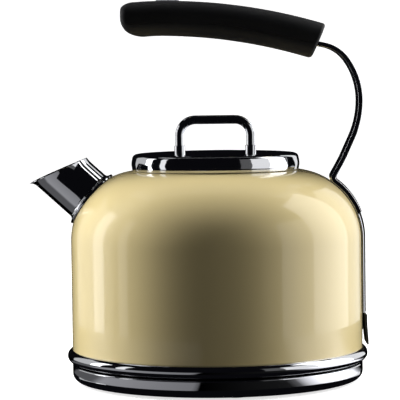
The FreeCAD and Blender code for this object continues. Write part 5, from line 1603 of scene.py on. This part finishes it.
class KETTLE_OT_stage(bpy.types.Operator):
    """Pale worktop, softboxes, world and camera"""
    bl_idname = "kettle.stage"
    bl_label = "Stage"
    # azimuth in degrees and tone of the floor ring, with straight ramps between
    RING_TONES = (
        (-180, 0.0), (-113, 0.0), (-109, 0.1), (-79, 0.1), (-71, 0.32), (-13, 0.2), (-10, 0.0),
        (38, 0.01), (44, 0.1), (50, 0.7), (58, 1.3), (94, 1.5), (101, 0.4), (109, 0.0), (180, 0.0))

    def execute(self, context):
        stage = in_mm(context.scene.kettle_stage)
        context.scene.view_settings.view_transform = "Standard"
        self.worktop(stage)
        for entry in self.boxes(stage):
            self.softbox(*entry)
        above = Vector((0, 0.42, 1.45))
        down = Vector((0, 0, 0.12)) - above
        self.lamp("overhead", above, down, 1.5, 0.5, stage.top, False)
        self.lamp("overhead_sheen", above, down, 2.0, 0.6, 0.12 * stage.top)
        self.floor_ring()
        self.world(context)
        self.camera(context, stage)
        return {"FINISHED"}

    def worktop(self, stage):
        """Floor that sweeps up into a backdrop."""
        far, radius, high = 2600.0, 700.0, 3200.0
        line = [(-2600.0, 0.0), (-1200.0, 0.0), (far - radius, 0.0)]
        line += arc((far - radius, radius), radius, -90, 0, 6)[1:]
        line.append((far, high))
        wide = 4000.0
        points = [(x, y, z) for y, z in line for x in (-wide, wide)]
        faces = [(2 * k, 2 * k + 1, 2 * k + 3, 2 * k + 2) for k in range(len(line) - 1)]
        floor = solid("worktop", points, faces)
        made = bpy.data.materials.new("worktop")
        made.use_nodes = True
        tree = made.node_tree
        shader = tree.nodes["Principled BSDF"]
        shader.inputs["Base Color"].default_value = stage.floor
        shader.inputs["Roughness"].default_value = 0.9
        shader.inputs["Specular IOR Level"].default_value = 0.0
        glow = node(tree, "LightPath").outputs["Is Camera Ray"]
        shader.inputs["Emission Color"].default_value = (1, 1, 1, 1)
        tree.links.new(math_node(tree, "MULTIPLY", glow, 0.7), shader.inputs["Emission Strength"])
        floor.data.materials.append(made)
        floor.visible_glossy = False
        floor.visible_diffuse = False
        floor.visible_shadow = False

    def boxes(self, stage):
        """Softboxes: name, from and to azimuth, low, high, strength, seen in reflections."""
        side = stage.key
        return (
            ("narrow_left", -81.0, -72.0, -300.0, 1000.0, 1.0, True),
            ("strip_left", -110.0, -97.0, -300.0, 1000.0, side, True),
            ("grey_left", -140.0, -110.0, -300.0, 1000.0, 0.25 * side, True),
            ("blue_right", 34.0, 50.0, -300.0, 1000.0, 0.1, True),
            ("pale_right", 50.0, 79.0, -300.0, 1000.0, 0.9, True),
            ("box_right", 79.0, 122.0, -300.0, 2100.0, side, True),
            ("fill_left", -112.0, -90.0, -300.0, 2000.0, 4.9 * side, False),
            ("fill_right", 90.0, 110.0, -300.0, 2000.0, 2.6 * side, False),
            ("grey_right", 122.0, 150.0, -300.0, 1300.0, 0.4 * side, True),
        )

    def softbox(self, name, start, end, low, high, strength, reflected):
        """Upright softbox round the kettle; strength is the radiance of its face."""
        turn = math.radians((start + end) / 2)
        distance = 1500.0
        width = 2 * distance * math.tan(math.radians(abs(end - start)) / 2) * MM
        spot = Vector((math.sin(turn) * distance, -math.cos(turn) * distance, (low + high) / 2)) * MM
        inward = Vector((-spot.x, -spot.y, 0))
        self.lamp(name, spot, inward, width, (high - low) * MM, strength, reflected)

    def lamp(self, name, spot, aim, width, tall, strength, reflected=True):
        light = bpy.data.lights.new(name, "AREA")
        light.shape = "RECTANGLE"
        light.size = width
        light.size_y = tall
        light.energy = strength * math.pi * width * tall
        lamp = bpy.data.objects.new(name, light)
        lamp.location = spot
        lamp.rotation_euler = aim.to_track_quat("-Z", "Y").to_euler()
        lamp.visible_camera = False
        lamp.visible_glossy = reflected
        bpy.context.scene.collection.objects.link(lamp)

    def ring_tone(self, turn):
        """Tone of the floor ring at an azimuth in degrees."""
        for (start, first), (end, last) in zip(self.RING_TONES, self.RING_TONES[1:]):
            if start <= turn < end:
                return first + (last - first) * (turn - start) / (end - start)
        return self.RING_TONES[-1][1]

    def floor_ring(self):
        """Flat ring on the worktop that only reflections show; its tone changes with azimuth."""
        inner, outer, steps = 125.0, 400.0, 180
        loops = []
        for step in range(steps):
            turn = math.tau * step / steps
            loops.append([(math.sin(turn) * r, -math.cos(turn) * r, -0.5) for r in (inner, outer)])
        points = [point for loop in loops for point in loop]
        faces = [(2 * k, 2 * k + 1, (2 * k + 3) % len(points), (2 * k + 2) % len(points))
                 for k in range(steps)]
        ring = solid("floor_ring", points, faces)
        made = bpy.data.materials.new("floor_ring")
        made.use_nodes = True
        tree = made.node_tree
        tree.nodes.clear()
        tone = ring.data.color_attributes.new("tone", "FLOAT_COLOR", "POINT")
        for vertex, entry in zip(ring.data.vertices, tone.data):
            value = self.ring_tone(math.degrees(math.atan2(vertex.co.x, -vertex.co.y)))
            entry.color = (value, value, value * 1.04, 1.0)
        glow = node(tree, "Emission", {"Color": node(tree, "VertexColor", layer_name="tone").outputs[0]})
        node(tree, "OutputMaterial", {0: glow.outputs[0]})
        ring.data.materials.append(made)
        for ray in ("camera", "diffuse", "shadow", "transmission", "volume_scatter"):
            setattr(ring, f"visible_{ray}", False)

    def world(self, context):
        """Pale to the eye and to soft light, dark in reflections."""
        world = bpy.data.worlds.new("studio")
        context.scene.world = world
        world.use_nodes = True
        tree = world.node_tree
        tree.nodes.clear()
        path = node(tree, "LightPath")
        seen = node(tree, "Background", {"Color": (1, 1, 1, 1), "Strength": 1.0})
        soft = node(tree, "Background", {"Color": (1, 1, 1, 1), "Strength": 0.05})
        dark = node(tree, "Background", {"Color": (0.003, 0.003, 0.004, 1), "Strength": 1.0})
        first = node(tree, "MixShader", {0: path.outputs["Is Glossy Ray"], 1: soft.outputs[0],
                                         2: dark.outputs[0]})
        second = node(tree, "MixShader", {0: path.outputs["Is Camera Ray"], 1: first.outputs[0],
                                          2: seen.outputs[0]})
        node(tree, "OutputWorld", {0: second.outputs[0]})

    def camera(self, context, stage):
        data = bpy.data.cameras.new("camera")
        data.lens = stage.lens
        data.sensor_width = 36.0
        camera = bpy.data.objects.new("camera", data)
        context.scene.collection.objects.link(camera)
        place_at = Vector((stage.aside, -stage.distance, stage.height)) * MM
        camera.matrix_world = (Matrix.Translation(place_at)
                               @ Matrix.Rotation(math.pi / 2 - stage.pitch, 4, "X")
                               @ Matrix.Rotation(stage.roll, 4, "Z"))
        context.scene.camera = camera


STEPS = (
    KETTLE_OT_finishes, KETTLE_OT_base_band, KETTLE_OT_base_plate, KETTLE_OT_base_underside,
    KETTLE_OT_feet, KETTLE_OT_screws, KETTLE_OT_outlet, KETTLE_OT_connector, KETTLE_OT_body,
    KETTLE_OT_rings, KETTLE_OT_underside, KETTLE_OT_spout, KETTLE_OT_filter, KETTLE_OT_strap,
    KETTLE_OT_spine, KETTLE_OT_switch, KETTLE_OT_grip, KETTLE_OT_lid, KETTLE_OT_frame_parts,
    KETTLE_OT_stage,
)
GROUPS = {
    "kettle_sizes": KettleSizes,
    "kettle_handle": KettleHandleSizes,
    "kettle_finishes": KettleFinishes,
    "kettle_stage": KettleStage,
}


class KETTLE_PT_panel(bpy.types.Panel):
    """Sizes, finishes and building steps of the kettle"""
    bl_label = "Round Electric Kettle"
    bl_idname = "KETTLE_PT_panel"
    bl_space_type = "VIEW_3D"
    bl_region_type = "UI"
    bl_category = "Kettle"

    def draw(self, context):
        for name in GROUPS:
            group = getattr(context.scene, name)
            box = self.layout.box()
            box.label(text=name.replace("_", " ").title())
            for key in group.bl_rna.properties.keys():
                if key not in ("rna_type", "name"):
                    box.prop(group, key)
        for step in STEPS:
            self.layout.operator(step.bl_idname)


def register():
    for entry in (*GROUPS.values(), *STEPS, KETTLE_PT_panel):
        bpy.utils.register_class(entry)
    for name, group in GROUPS.items():
        setattr(bpy.types.Scene, name, PointerProperty(type=group))


def unregister():
    for name in GROUPS:
        delattr(bpy.types.Scene, name)
    for entry in reversed((*GROUPS.values(), *STEPS, KETTLE_PT_panel)):
        bpy.utils.unregister_class(entry)


def main():
    """Builds every piece in order."""
    register()
    for step in STEPS:
        group, name = step.bl_idname.split(".")
        getattr(getattr(bpy.ops, group), name)()


if __name__ == "__main__":
    main()
